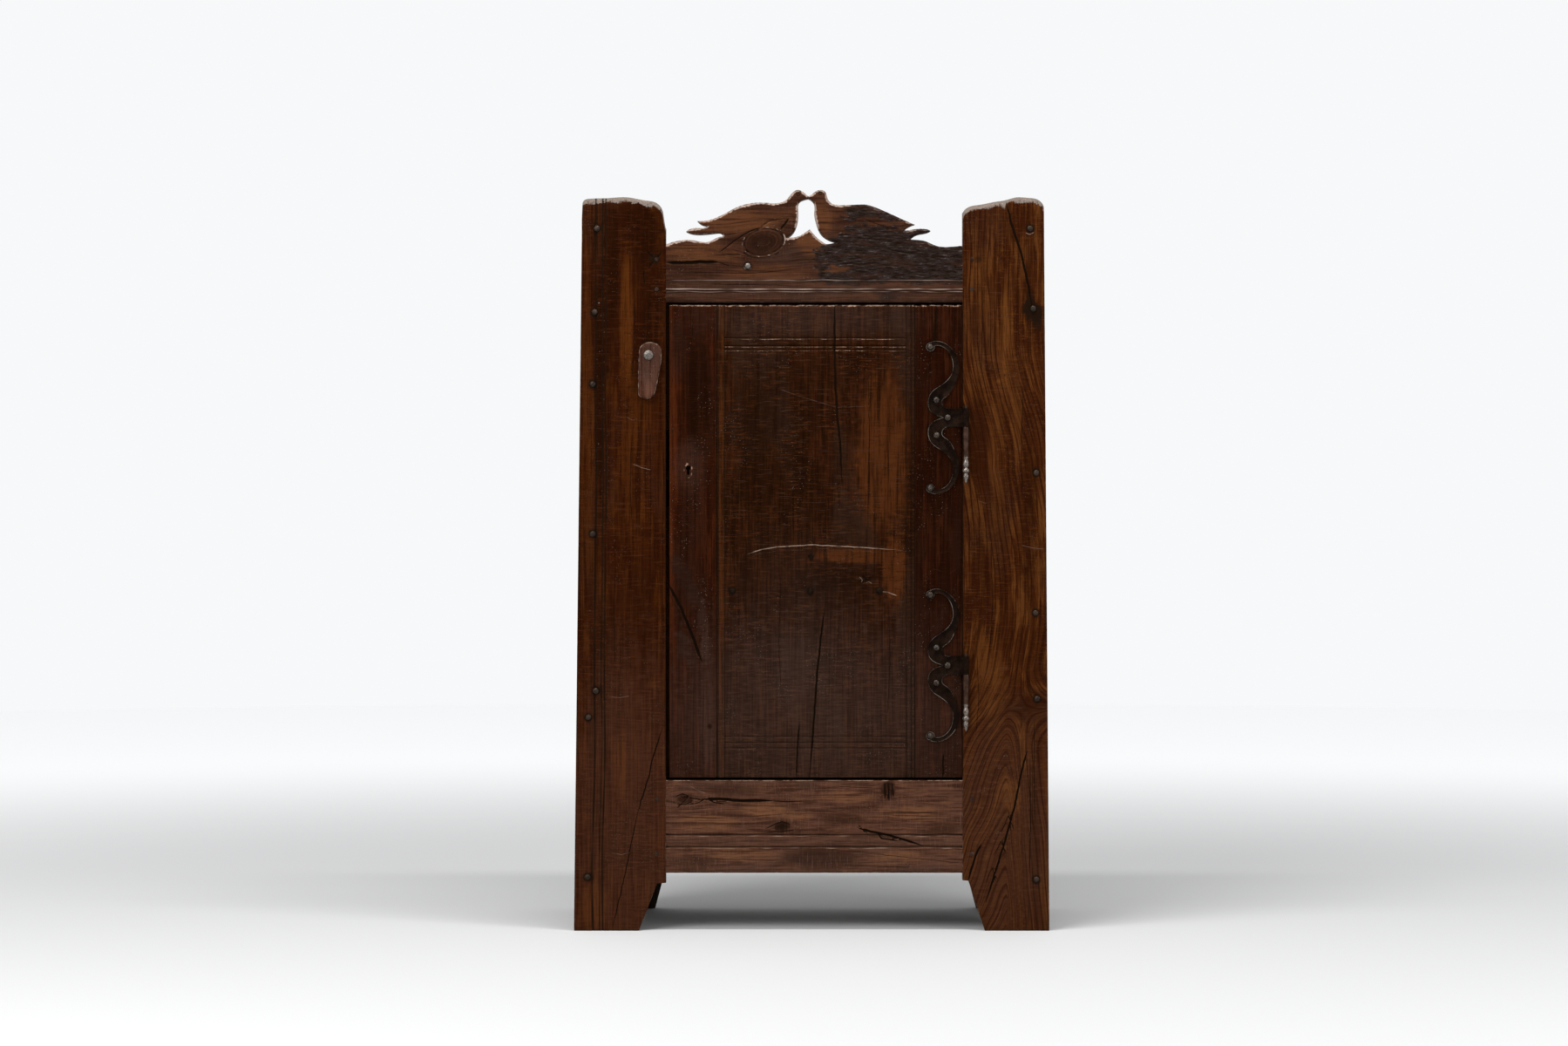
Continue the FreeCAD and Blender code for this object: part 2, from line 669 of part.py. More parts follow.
# Nails from the front, through the stiles into the edges of the side boards
front_nails = []
for side, shares in ((left, left_nail_shares), (right, right_nail_shares)):
    for rise, across in shares:
        level = rise * stile_height
        x = outer_x(side, level, side_set_in + across * side_thick)
        front_nails.append(nail(Vec(x, 0, level), -inward, stile_thick + stile_nail_bite))
pieces["stile_nails"] = Part.makeCompound(front_nails)
crest_seat = Vec(inner_x[left] + crest_nail_share * opening_width, rail_recess,
                 top_level - top_thick / 2)
pieces["crest_nail"] = nail(crest_seat, -inward, stile_thick + board_nail_bite)

# Nails through the side boards into the ends of the cross boards
board_middles = [top_level - top_thick / 2, floor_level - floor_thick / 2]
shelf_middles = [level - shelf_thick / 2 for level in shelf_levels.values()]
for side, word in ((left, "left"), (right, "right")):
    lean = left_lean if side == left else right_lean
    outward = Vec(side * stile_height, 0, lean).normalize()
    nails = []
    for level in board_middles + shelf_middles:
        for share in side_nail_shares:
            y = stile_thick + share * (back_front - stile_thick)
            seat = Vec(outer_x(side, level, side_set_in), y, level)
            nails.append(nail(seat, outward, side_thick + board_nail_bite))
    pieces[word + "_side_nails"] = Part.makeCompound(nails)

# Nails from behind, into the cross boards and the back edges of the sides
back_nails = []
for index in range(back_board_count):
    for level in board_middles + shelf_middles:
        for share in back_nail_shares:
            seat = Vec(back_inner_x[left] + (index + share) * back_board_width, case_depth, level)
            back_nails.append(nail(seat, inward, back_thick + board_nail_bite))
for side in (left, right):
    for share in back_stile_nail_shares:
        level = share * top_level
        x = outer_x(side, level, side_set_in + side_thick / 2)
        back_nails.append(nail(Vec(x, case_depth, level), inward, back_thick + board_nail_bite))
pieces["back_nails"] = Part.makeCompound(back_nails)

# Small nails in the cleats and the door stops
inner_nails = []
cleat_tops = [(top_level - top_thick, stile_thick), (floor_level - floor_thick, stile_thick)]
cleat_tops += [(level - shelf_thick, shelf_front) for level in shelf_levels.values()]
for side in (left, right):
    lean = left_lean if side == left else right_lean
    into_room = Vec(-side * stile_height, 0, -lean).normalize()
    for top, front in cleat_tops:
        level = top - cleat_height / 2
        for share in cleat_nail_shares:
            x = outer_x(side, level, side_set_in + side_thick + cleat_width)
            seat = Vec(x, front + share * (back_front - front), level)
            inner_nails.append(nail(seat, into_room, cleat_width + small_nail_bite,
                                    small_shank, small_head_radius, small_head_height))
for bottom, top in stop_spans:
    for share in peg_shares:
        seat = Vec(stop_right - stop_lap - stop_width / 4, stile_thick + stop_thick,
                   bottom + share * (top - bottom))
        inner_nails.append(nail(seat, inward, stop_thick + small_nail_bite,
                                small_shank, small_head_radius, small_head_height))
pieces["inner_nails"] = Part.makeCompound(inner_nails)

# Nails of the door: from the front into the middle batten, from behind through the other two
face_nails = []
for across, rise in face_nail_shares:
    seat = Vec(door_left + across * (door_right - door_left), door_recess,
               batten_levels["middle"] + rise * batten_height)
    face_nails.append(nail(seat, -inward, door_back - door_recess + small_nail_bite,
                           small_shank, nail_head_radius, small_head_height))
pieces["door_face_nails"] = Part.makeCompound(face_nails)
batten_nails = []
batten_length = door_right - door_left - 2 * batten_inset
for word in ("bottom", "top"):
    for across, rise in batten_nail_shares:
        seat = Vec(door_left + batten_inset + across * batten_length, batten_back,
                   batten_levels[word] + rise * batten_height)
        batten_nails.append(nail(seat, inward, batten_thick + small_nail_bite,
                                 small_shank, small_head_radius, small_head_height))
pieces["batten_nails"] = Part.makeCompound(batten_nails)

# Nails of the lock plate and of the keeper
lock_nails = []
nail_rise = (lock_half + lock_plate_half) / 2
for x in (lock_left + lock_width / 4, lock_right - lock_width / 4):
    for z in (keyhole_level - nail_rise, keyhole_level + nail_rise):
        lock_nails.append(nail(Vec(x, lock_front, z), inward, lock_plate_thick + lock_nail_bite,
                               small_shank, small_head_radius, small_head_height))
pieces["lock_nails"] = Part.makeCompound(lock_nails)
keeper_nails = []
keeper_x = (pocket_left - keeper_wall + keeper_right) / 2
nail_rise = (keeper_half + bolt_half + keeper_play) / 2
for z in (bolt_level - nail_rise, bolt_level + nail_rise):
    keeper_nails.append(nail(Vec(keeper_x, keeper_back, z), inward,
                             keeper_back - stile_thick + small_nail_bite,
                             small_shank, small_head_radius, small_head_height))
pieces["keeper_nails"] = Part.makeCompound(keeper_nails)

# Holes, mortises and sockets take their shape from what goes into them
side_names = {word: [word + "_side_front_board", word + "_side_back_board"]
              for word in ("left", "right")}
cross_names = ["top_front_board", "top_back_board", "floor_front_board", "floor_back_board"]
shelf_names = [word + "_shelf" for word in shelf_levels]
cleat_names = ["top_cleats", "floor_cleats"] + [word + "_shelf_cleats" for word in shelf_levels]
door_names = ["door_%s_board" % word for word in door_ranges]
batten_names = ["door_%s_batten" % word for word in batten_levels]
cut_into(["crest_rail", "bottom_rail"], ["frame_pegs"])
cut_into(["left_front_stile", "right_front_stile"],
         ["crest_rail", "bottom_rail", "frame_pegs", "stile_nails"])
cut_into(["left_front_stile"], ["button_nail", "keeper_nails", "inner_nails"])
cut_into(["right_front_stile"], ["upper_pintle", "lower_pintle"])
for word, names in side_names.items():
    cut_into(names, ["stile_nails", word + "_side_nails", "back_nails", "inner_nails"])
cut_into(["crest_rail", "top_front_board"], ["crest_nail"])
cut_into(cross_names + shelf_names, ["left_side_nails", "right_side_nails", "back_nails"])
cut_into(["left_back_stile", "right_back_stile"] + back_board_names, ["back_nails"])
cut_into(cleat_names + ["door_stops"], ["inner_nails"])
cut_into(["lock_keeper"], ["keeper_nails"])
cut_into(["lock_plate"], ["lock_nails"])
cut_into(door_names, ["hinge_nails", "door_face_nails", "batten_nails", "lock_nails"])
cut_into(batten_names, ["door_face_nails", "batten_nails"])
cut_into(["upper_hinge_strap", "lower_hinge_strap"], ["hinge_nails"])

for name, shape in pieces.items():
    shape.translate(Vec(0, -centre_y, 0))
    shape.exportStep("parts/%s.step" % name)
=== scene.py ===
import bmesh
import bpy
from math import atan2, cos, exp, hypot, radians, sin
from mathutils import Matrix, Vector, noise
from mathutils.bvhtree import BVHTree


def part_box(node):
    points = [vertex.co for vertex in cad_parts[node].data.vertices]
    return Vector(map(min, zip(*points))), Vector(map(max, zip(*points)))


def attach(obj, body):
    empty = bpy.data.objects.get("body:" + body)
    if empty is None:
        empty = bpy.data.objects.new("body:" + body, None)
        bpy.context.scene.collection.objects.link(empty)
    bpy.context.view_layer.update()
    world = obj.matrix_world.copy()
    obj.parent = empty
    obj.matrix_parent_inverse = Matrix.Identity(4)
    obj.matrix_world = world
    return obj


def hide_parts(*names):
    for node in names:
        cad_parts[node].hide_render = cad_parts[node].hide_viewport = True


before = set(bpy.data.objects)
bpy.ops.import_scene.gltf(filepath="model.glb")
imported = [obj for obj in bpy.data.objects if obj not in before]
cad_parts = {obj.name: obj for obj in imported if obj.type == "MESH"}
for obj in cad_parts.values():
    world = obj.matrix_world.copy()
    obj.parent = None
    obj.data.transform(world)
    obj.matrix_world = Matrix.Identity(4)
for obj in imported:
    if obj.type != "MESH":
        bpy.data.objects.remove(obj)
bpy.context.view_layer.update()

# Left front stile: one thick plank that stands on the floor, with a cut foot, a rounded top chipped and
# rubbed pale, its pale partly a painted highlight, and two lines scratched down its outer side. Waxed old
# hardwood, nailed to the left side.

FRONT = (Vector((1, 0, 0)), Vector((0, 0, 1)), Vector((0, 1, 0)))
DEPTH, WEAR_AND_HIGHLIGHT, DIRT_AND_SHADE, TONE, BURNT, ACROSS, ALONG, DUST_AND_SHEEN = 0, 1, 2, 3, 4, 7, 8, 9
NO_MARK = 20
DOOR_FOOT, DOOR_HEAD = 300, 1226


def waver(x, z, seed):
    """Smooth unevenness from place to place, between -1 and 1."""
    return noise.noise(Vector((x, z, seed)))


def bell(reach):
    return exp(-reach ** 2)


def add(found, kind, more):
    found[kind] = min(1, found[kind] + more)


def places(start, end, step, close=(), near=5, fine=1):
    """Places from start to end, and closer together beside each place in close."""
    found, at = [], start
    while at < end - fine / 2:
        found.append(at)
        at += fine if any(abs(at + fine - place) < near for place in close) else step
    return found + [end]


def put_looks(mesh, looks, plain):
    """Gives each point its place in the grain, its wear and stains with the light painted on them, and its
    nearest crack or scratch.
    """
    kinds = (("figure", "FLOAT_VECTOR", "vector"), ("wear", "FLOAT_COLOR", "color"),
             ("mark", "FLOAT_VECTOR", "vector"))
    values = {name: [] for name, _, _ in kinds}
    for index, point in enumerate(mesh.vertices):
        _, worn_and_lit, dirt_shade, tone, burnt, gap, force, across, along, dust_sheen = looks.get(index) or plain(point.co)
        values["figure"] += [across / 1000, along / 1000, point.co.y]
        values["wear"] += [worn_and_lit, dirt_shade, tone, burnt]
        values["mark"] += [gap, force, dust_sheen]
    for name, kind, field in kinds:
        mesh.attributes.new(name, kind, "POINT").data.foreach_set(field, values[name])


def plain_wood(x, z, worn_and_lit=0, dirt_shade=0.2, burnt=0):
    """A place on a board that carries no marks."""
    return (0, worn_and_lit, dirt_shade, 0.5, burnt, NO_MARK, 0, x, z, 0)


def set_in_place(name, shape, node, body, material, sharp=50, looks=None, plain=None, rubbed=None):
    """Makes a shape a piece that stands for a CAD node and moves with a body. A sharp of zero leaves it
    faceted, and none leaves it smooth all over."""
    mesh = bpy.data.meshes.new(name)
    shape.to_mesh(mesh)
    shape.free()
    if plain:
        put_looks(mesh, looks or {}, plain)
    if rubbed is not None:
        tags = mesh.attributes.new("rubbed", "FLOAT", "POINT")
        tags.data.foreach_set("value", [rubbed] * len(mesh.vertices))
    mesh.polygons.foreach_set("use_smooth", [sharp != 0] * len(mesh.polygons))
    if sharp:
        mesh.set_sharp_from_angle(angle=radians(sharp))
    mesh.materials.append(material)
    piece = bpy.data.objects.new(name, mesh)
    bpy.context.collection.objects.link(piece)
    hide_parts(node)
    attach(piece, body)


def plank(node, look, wood, body="carcass", view=FRONT, step=2.5, close_across=(), close_up=(),
          upright=None, hollow=6, probe=2, shoulder=None, hem=None, span=None, through=None, sideways=False):
    """A board with a CAD piece's outline and a close net of points on its face, given wear, stains and painted
    light by look.
    """
    right, up, into = view
    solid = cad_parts[node].data
    corners = [1000 * Vector((right.dot(v.co), up.dot(v.co), into.dot(v.co))) for v in solid.vertices]
    shape = BVHTree.FromPolygons(corners, [face.vertices for face in solid.polygons])
    low = Vector([min(corner[i] for corner in corners) for i in range(3)])
    high = Vector([max(corner[i] for corner in corners) for i in range(3)])
    near_face = low.z + probe
    if span:
        low.x, high.x = span
    columns = places(low.x, high.x, step, close_across)
    rows = places(low.y, high.y, step, close_up)
    keep = upright or ((low.x + high.x) / 2,) * 2
    shoulder = high.y + 1 if shoulder is None else shoulder
    hem = low.y - 1 if hem is None else hem

    def felt(start, way, axis, missed):
        spot = shape.ray_cast(Vector(start), Vector(way))[0]
        return spot[axis] if spot else missed

    edges = {}
    for row in rows:
        level = min(max(row, low.y + 0.1, hem), high.y - 0.1, shoulder)
        edges[row] = (low.x, high.x)
        if not span:
            firsts = [felt((low.x - 9, level, near_face + more), (1, 0, 0), 0, low.x) for more in (0, 5)]
            lasts = [felt((high.x + 9, level, near_face + more), (-1, 0, 0), 0, high.x) for more in (0, 5)]
            edges[row] = (min(firsts), max(lasts))
    board = bmesh.new()
    bmesh.ops.create_grid(board, x_segments=len(columns) - 1, y_segments=len(rows) - 1, size=1)
    looks = {}
    for index, point in enumerate(board.verts):
        column = columns[round((point.co.x + 1) / 2 * (len(columns) - 1))]
        row = rows[round((point.co.y + 1) / 2 * (len(rows) - 1))]
        first, last = edges[row]
        x, z = column, row
        if column < keep[0]:
            x = first + (column - low.x) * (keep[0] - first) / (keep[0] - low.x)
        elif column > keep[1]:
            x = last - (high.x - column) * (last - keep[1]) / (high.x - keep[1])
        inside = min(max(x, first + 0.4), last - 0.4)
        top, bottom = high.y, low.y
        if row > shoulder or z > high.y - 40:
            top = felt((inside, high.y + 9, near_face), (0, -1, 0), 1, high.y)
        if row > shoulder:
            z = shoulder + (top - shoulder) * (row - shoulder) / (high.y - shoulder)
        if row < hem:
            bottom = felt((inside, low.y - 9, near_face), (0, 1, 0), 1, low.y)
            z = hem - (hem - bottom) * (hem - row) / (hem - low.y)
        rim = tuple(max(gap, 0) for gap in (x - first, last - x, z - bottom, top - z))
        height = min(max(z, low.y + 0.4), top - 0.4)
        depth = felt((inside, height, low.z - 9), (0, 0, 1), 2, None)
        if depth is None or depth > low.z + hollow:
            depth = low.z if through is None else low.z + through
        looks[index] = look(x, z, rim)
        point.co = right * x / 1000 + up * z / 1000 + into * (depth + looks[index][DEPTH]) / 1000
    for reach in (0.1, 1):
        made = bmesh.ops.extrude_edge_only(board, edges=[edge for edge in board.edges if edge.is_boundary])
        for point in made["geom"]:
            if isinstance(point, bmesh.types.BMVert):
                point.co += into * reach * (high.z / 1000 - into.dot(point.co))
    back = bmesh.ops.holes_fill(board, edges=[edge for edge in board.edges if edge.is_boundary], sides=0)
    bmesh.ops.triangulate(board, faces=back["faces"])
    bmesh.ops.recalc_face_normals(board, faces=board.faces)

    def plain(place):
        x, z = 1000 * right.dot(place), 1000 * up.dot(place)
        return plain_wood(z, x) if sideways else plain_wood(x, z)

    set_in_place(f"{node}_plank", board, node, body, wood, looks=looks, plain=plain)


def marks(*lines):
    """Cracks (above zero) and pale scratches (below zero), with the box that each one reaches."""
    found = []
    for strength, *points in lines:
        across, up = zip(*points)
        found.append((points, strength, (min(across) - 8, min(up) - 8, max(across) + 8, max(up) + 8)))
    return found


def nearest_mark(x, z, marks):
    """How far the nearest crack or scratch is, to its left or right, and how strong it is there."""
    best, force = NO_MARK, 0
    x += 1.1 * waver(x / 30, z / 13, 5)
    z += 0.9 * waver(x / 13, z / 30, 9)
    for points, strength, (low_x, low_z, high_x, high_z) in marks:
        if not (low_x < x < high_x and low_z < z < high_z):
            continue
        for k, (start, end) in enumerate(zip(points, points[1:])):
            run_x, run_z = end[0] - start[0], end[1] - start[1]
            share = ((x - start[0]) * run_x + (z - start[1]) * run_z) / (run_x ** 2 + run_z ** 2)
            held = min(max(share, 0), 1)
            off_x, off_z = x - start[0] - held * run_x, z - start[1] - held * run_z
            gap = hypot(off_x, off_z)
            if gap < abs(best) and gap < 8:
                best = gap if run_x * off_z > run_z * off_x else -gap
                way = (k + held) / (len(points) - 1)
                force = strength * min(1, 0.25 + 6 * min(way, 1 - way)) * (held == share or gap < 2)
    return best, force


def aged(x, z, rim, seed, cracks=(), nails=(), stains=(), knots=(), crown=None, arris=1.2, sideways=False,
         figure=None, seams=(1, 1, 1, 1)):
    """What time has done at one place of a board's face, with painted light, in millimetres: how deep it has
    gone in, then wear with painted highlights, dirt with painted shade, tone, burning, the nearest mark, the
    place in the grain, and dust with painted sheen. A stain's sixth number is the pale veil it lays, dust and
    in places painted sheen, or below zero how black."""
    across, along = (z, x) if sideways else (x, z)
    if figure:
        across, along = figure(x, z)
    ragged = waver(x / 11, z / 11, seed)
    ragged_fine = waver(x / 4, z / 4, seed + 7)
    wave = waver(across / 60, along / 260, seed)
    ribs = waver(across / 4.5, along / 80, seed + 3)
    dents = max(0, waver(x / 16, z / 16, seed + 11) - 0.42)
    tone, dirt_shade, dust_sheen = 0.5, 0, 0
    for centre_x, centre_z, wide, tall, strength in knots:
        near = ((x - centre_x) / wide) ** 2 + ((z - centre_z) / tall) ** 2
        if near < 9:
            middle = centre_z if sideways else centre_x
            across = middle + (across - middle) * (1 - 0.8 * exp(-near))
            tone -= strength * exp(-near * 3)
    edge = min(gap / max(keep, 0.01) for gap, keep in zip(rim, seams))
    top_edge = rim[3] / max(seams[3], 0.01)
    sink = 0.35 + 0.35 * wave + 0.14 * ribs + 2.2 * dents + arris * exp(-edge / 2.4) * (1 + 1.2 * ragged)
    # Pale along every edge for wear, and paler still along the top edge, where the extra is a painted
    # highlight of the light from above; the pale on a rounded top below is wear and painted highlight too.
    worn_and_lit = (0.5 * exp(-edge / 1.6) + 0.6 * exp(-top_edge / 2.4)) * (0.75 + 1.1 * ragged + 0.8 * ragged_fine)
    if crown and rim[3] < 2 * crown[0]:
        band = crown[0] * (1 + 0.55 * waver(x / 22, seed, 0) + 0.25 * ragged)
        if rim[3] < band:
            slope = 1 - rim[3] / band
            sink += crown[1] * slope ** 1.3
            worn_and_lit = max(worn_and_lit, 0.55 + 0.6 * slope + 0.6 * ragged_fine)
    for nail_x, nail_z in nails:
        near = hypot(x - nail_x, z - nail_z)
        if near < 30:
            sink += 0.9 * bell(near / 8.5)
            dirt_shade += 0.95 * exp(-(near / (11 + 3 * ragged_fine)) ** 3)
    for centre_x, centre_z, wide, tall, change, *veil in stains:
        near = ((x - centre_x) / wide) ** 2 + ((z - centre_z) / tall) ** 2
        if near < 6:
            weight = exp(-near * near * (1 + 0.9 * ragged + 0.5 * ribs))
            tone += change * weight
            dust_sheen += max(sum(veil), 0) * weight
            dirt_shade += max(-sum(veil), 0) * weight
    gap, force = nearest_mark(x, z, cracks)
    if force > 0:
        sink += 1.5 * force * exp(-abs(gap) / 1.4)
    return [sink, min(max(worn_and_lit, 0), 1), min(dirt_shade, 1), min(max(tone, 0), 1), 0, gap, force, across, along,
            min(dust_sheen, 1)]


def scored_down(found, x, z, lines, base, swing, wave, least, grime_and_shade):
    """Old lines scratched down a stile (place, width, depth), stronger here and weaker there."""
    for line, width, depth in lines:
        groove = bell((x - line) / width) * max(base + swing * waver(line, z / wave, 3), least)
        found[DEPTH] += depth * groove
        add(found, DIRT_AND_SHADE, grime_and_shade * groove)


def beside_door(found, z, gap, width):
    """Painted shadow where the stile meets the door: darker, and without the pale of a rubbed edge."""
    if DOOR_FOOT < z < DOOR_HEAD:
        add(found, DIRT_AND_SHADE, 0.8 * bell(gap / width))
        found[WEAR_AND_HIGHLIGHT] *= 1 - bell(gap / 4)


class Wire:
    """A value on its way through a material's nodes, which can be reckoned with as a number can."""

    def __init__(self, socket):
        self.socket, self.tree = socket, socket.id_data

    def reckon(self, operation, other=0.0):
        return add_node(self.tree, "Math", {0: self, 1: other}, operation=operation)

    def __add__(self, other):
        return self.reckon("ADD", other)

    def __sub__(self, other):
        return self.reckon("SUBTRACT", other)

    def __mul__(self, other):
        return self.reckon("MULTIPLY", other)

    def rise(self, start, end, low=0.0, high=1.0):
        wires = {0: self, 1: start, 2: end, 3: low, 4: high}
        return add_node(self.tree, "MapRange", wires, interpolation_type="SMOOTHSTEP")

    def grain(self, scale, seed, detail=3.0, rough=0.55):
        """Noise drawn out along the wood."""
        moved = add_node(self.tree, "Mapping", {0: self, 1: (seed, seed * 0.7, seed * 1.3), 3: scale})
        wires = {"Vector": moved, "Scale": 1.0, "Detail": detail, "Roughness": rough}
        return add_node(self.tree, "TexNoise", wires)


def add_node(tree, kind, wires, *outputs, **settings):
    """A shader node with its sockets wired or set. Gives its first output, or the outputs named."""
    made = tree.nodes.new("ShaderNode" + kind)
    for name, value in settings.items():
        setattr(made, name, value)
    for socket, value in wires.items():
        if isinstance(value, Wire):
            tree.links.new(value.socket, made.inputs[socket])
        else:
            made.inputs[socket].default_value = value
    found = [Wire(made.outputs[name]) for name in outputs or (0,)]
    return found if len(found) > 1 else found[0]


def coat(under, share, over, strength=1.0):
    """Lays one colour over another."""
    if isinstance(under, tuple):
        under = (*under, 1)
    if isinstance(over, tuple):
        over = (*(strength * part for part in over), 1)
    return add_node(share.tree, "Mix", {0: share, 6: under, 7: over}, 2, data_type="RGBA")


def new_finish(name):
    finish = bpy.data.materials.new(name)
    finish.use_nodes = True
    return finish, finish.node_tree, finish.node_tree.nodes["Principled BSDF"]


def lay_on(shader, colour, rough, height, strength, distance, specular, tint, metal=0.0):
    """Wires a finish into its shader, and sets what is the same all over it."""
    bump = add_node(colour.tree, "Bump", {"Height": height, "Strength": strength, "Distance": distance})
    for socket, wire in (("Base Color", colour), ("Roughness", rough), ("Normal", bump)):
        colour.tree.links.new(wire.socket, shader.inputs[socket])
    for socket, value in (("Specular IOR Level", specular), ("Specular Tint", tint), ("Metallic", metal)):
        shader.inputs[socket].default_value = value


def old_wood(name, deep, mid, light, smoke, seed, gloss=0.36, rings=0.0, cross=0.5, specks=0.5, smoky=0.6,
             rubbed=(0.27, 0.165, 0.115), dust_sheen_colour=(0.066, 0.037, 0.027), streaky=1.0, short=1.0, lively=0.9):
    """Old waxed hardwood: streaks, pores and rings along the grain, smoky patches, fine scrapes across it,
    pale rubbed edges with painted highlights, dark seams and cracks, painted shade, dust with painted sheen,
    and burnt wood gone silvery."""
    wood, tree, shader = new_finish(name)
    place = add_node(tree, "Attribute", {}, "Vector", attribute_name="figure")
    stained, burnt = add_node(tree, "Attribute", {}, "Color", "Alpha", attribute_name="wear")
    worn_and_lit, dirt_shade, tone = add_node(tree, "SeparateColor", {0: stained}, 0, 1, 2)
    mark = add_node(tree, "Attribute", {}, "Vector", attribute_name="mark")
    gap, force, dust_sheen = add_node(tree, "SeparateXYZ", {0: mark}, 0, 1, 2)
    gap = gap.reckon("ABSOLUTE")

    streak = place.grain((105 * streaky, 3.6 * short, 70), seed, 4.0, 0.6)
    fine = place.grain((340, 8, 200), seed + 3, 4.0, 0.65)
    pores = place.grain((900, 42, 500), seed + 5, 2.0).rise(0.58, 0.7)
    broad = place.grain((11, 3.1, 9), seed + 8)
    second = place.grain((48 * streaky, 6 * short, 36), seed + 13, 4.0, 0.65)
    weave = place.grain((40, 330, 90), seed + 17, 3.0, 0.72)
    scrapes = place.grain((26, 420, 90), seed + 21, 2.0, 0.5)
    cloud = place.grain((17, 9, 14), seed + 26, 4.0, 0.6)
    vein = place.grain((150, 2.2 * short, 90), seed + 34, 2.0, 0.5)
    wrinkle = place.grain((300, 42, 180), seed + 41, 5.0, 0.8)
    spots = add_node(tree, "TexVoronoi", {"Vector": place, "Scale": 190.0, "Randomness": 1.0})

    body = streak * 0.62 + fine * 0.38
    warm = (tone - 0.5) * 2.0 * body.rise(0.36, 0.6, 0.3, 1.35)
    patchy = cloud.rise(0.38, 0.6, 0.25, 1.0)
    ring = None
    if rings:
        bend = place.grain((22, 2.4, 20), seed + 30, 2.0)
        ring = (add_node(tree, "SeparateXYZ", {0: place}) * 190.0 + bend * 9.0).reckon("PINGPONG", 1.0)
        ring = ring.rise(0.6, 0.98, 0.0, rings) * broad.rise(0.36, 0.54)
    char = coat((0.0026, 0.0018, 0.0016), wrinkle.rise(0.42, 0.56), (0.019, 0.0142, 0.0136))
    char = coat(char, second.rise(0.52, 0.64, 0.0, 0.4), (0.032, 0.0115, 0.0068))
    char = coat(char, wrinkle.rise(0.59, 0.7), (0.160, 0.142, 0.138))
    charred = (burnt + wrinkle * 0.9 - 0.45).rise(0.3, 0.65)
    # The rubbed colour is pale wear, and on top edges a painted highlight as well. The dark colour below is
    # dirt in seams, lines and round nails, and painted shade in the gaps beside and above the door.
    rubbing_and_highlight = (worn_and_lit + fine * 0.9 - 0.45).rise(0.4, 0.85)
    grime_and_shade = (dirt_shade + fine * 0.3 - 0.15).rise(0.25, 0.95, 0.0, 0.92)
    crack = (force * 1.6 - gap).rise(-0.35, 0.35) * force.rise(0.0, 0.15)
    scratch = (force * -0.8 - gap).rise(-0.4, 0.4, 0.0, 0.9) * (force * -1.0).rise(0.15, 1.0)

    # The pale veil is dust and, on the door's left board, painted glints of its wax.
    colour = deep
    for share, over, strength in (
            (body.rise(0.4, 0.56), mid, 1),
            ((second * 0.58 + fine * 0.42).rise(0.49, 0.6, 0.0, lively), light, 1),
            (cloud.rise(0.52, 0.66, 0.0, 0.75), deep, 1), (broad.rise(0.52, 0.66, 0.0, smoky), smoke, 1),
            (ring, deep, 0.5), (warm.reckon("MAXIMUM"), light, 1),
            ((warm * -1.0).reckon("MAXIMUM"), deep, 0.55),
            (vein.rise(0.57, 0.66, 0.0, 0.75), deep, 0.7), (pores * 0.5, deep, 0.3),
            (weave.rise(0.54, 0.66, 0.0, 0.55 * cross) * patchy, light, 1.5),
            (weave.rise(0.46, 0.34, 0.0, 0.75 * cross) * patchy, deep, 0.3),
            (dust_sheen * (weave + fine).rise(0.8, 1.2, 0.5, 1.0), dust_sheen_colour, 1), (ring and ring * 0.6, deep, 0.8),
            (scrapes.rise(0.62, 0.7, 0.0, 0.7 * cross), smoke, 2.4),
            (spots.rise(0.17, 0.09) * cloud.rise(0.5, 0.62, 0.0, specks), (0.2, 0.165, 0.14), 1),
            (charred, char, 1), (rubbing_and_highlight, rubbed, 1), (grime_and_shade, (0.006, 0.0035, 0.0022), 1),
            (crack, (0.003, 0.0018, 0.0012), 1),
            (scratch * second.rise(0.35, 0.55, 0.25, 1.0), (0.30, 0.21, 0.16), 1)):
        if share:
            colour = coat(colour, share, over, strength)

    rough = fine.rise(0.3, 0.7, gloss - 0.06, gloss + 0.1) + broad.rise(0.35, 0.65, -0.06, 0.08)
    rough = (rough - rubbing_and_highlight * 0.14).reckon("MAXIMUM", grime_and_shade.reckon("MAXIMUM", crack) * 0.85)
    height = fine * 0.7 - pores * 0.5 + weave * (1.2 * cross) + charred * wrinkle * 4.0
    lay_on(shader, colour, rough, height, 0.8, 0.0006, 0.08, (1.0, 0.42, 0.14, 1))
    return wood


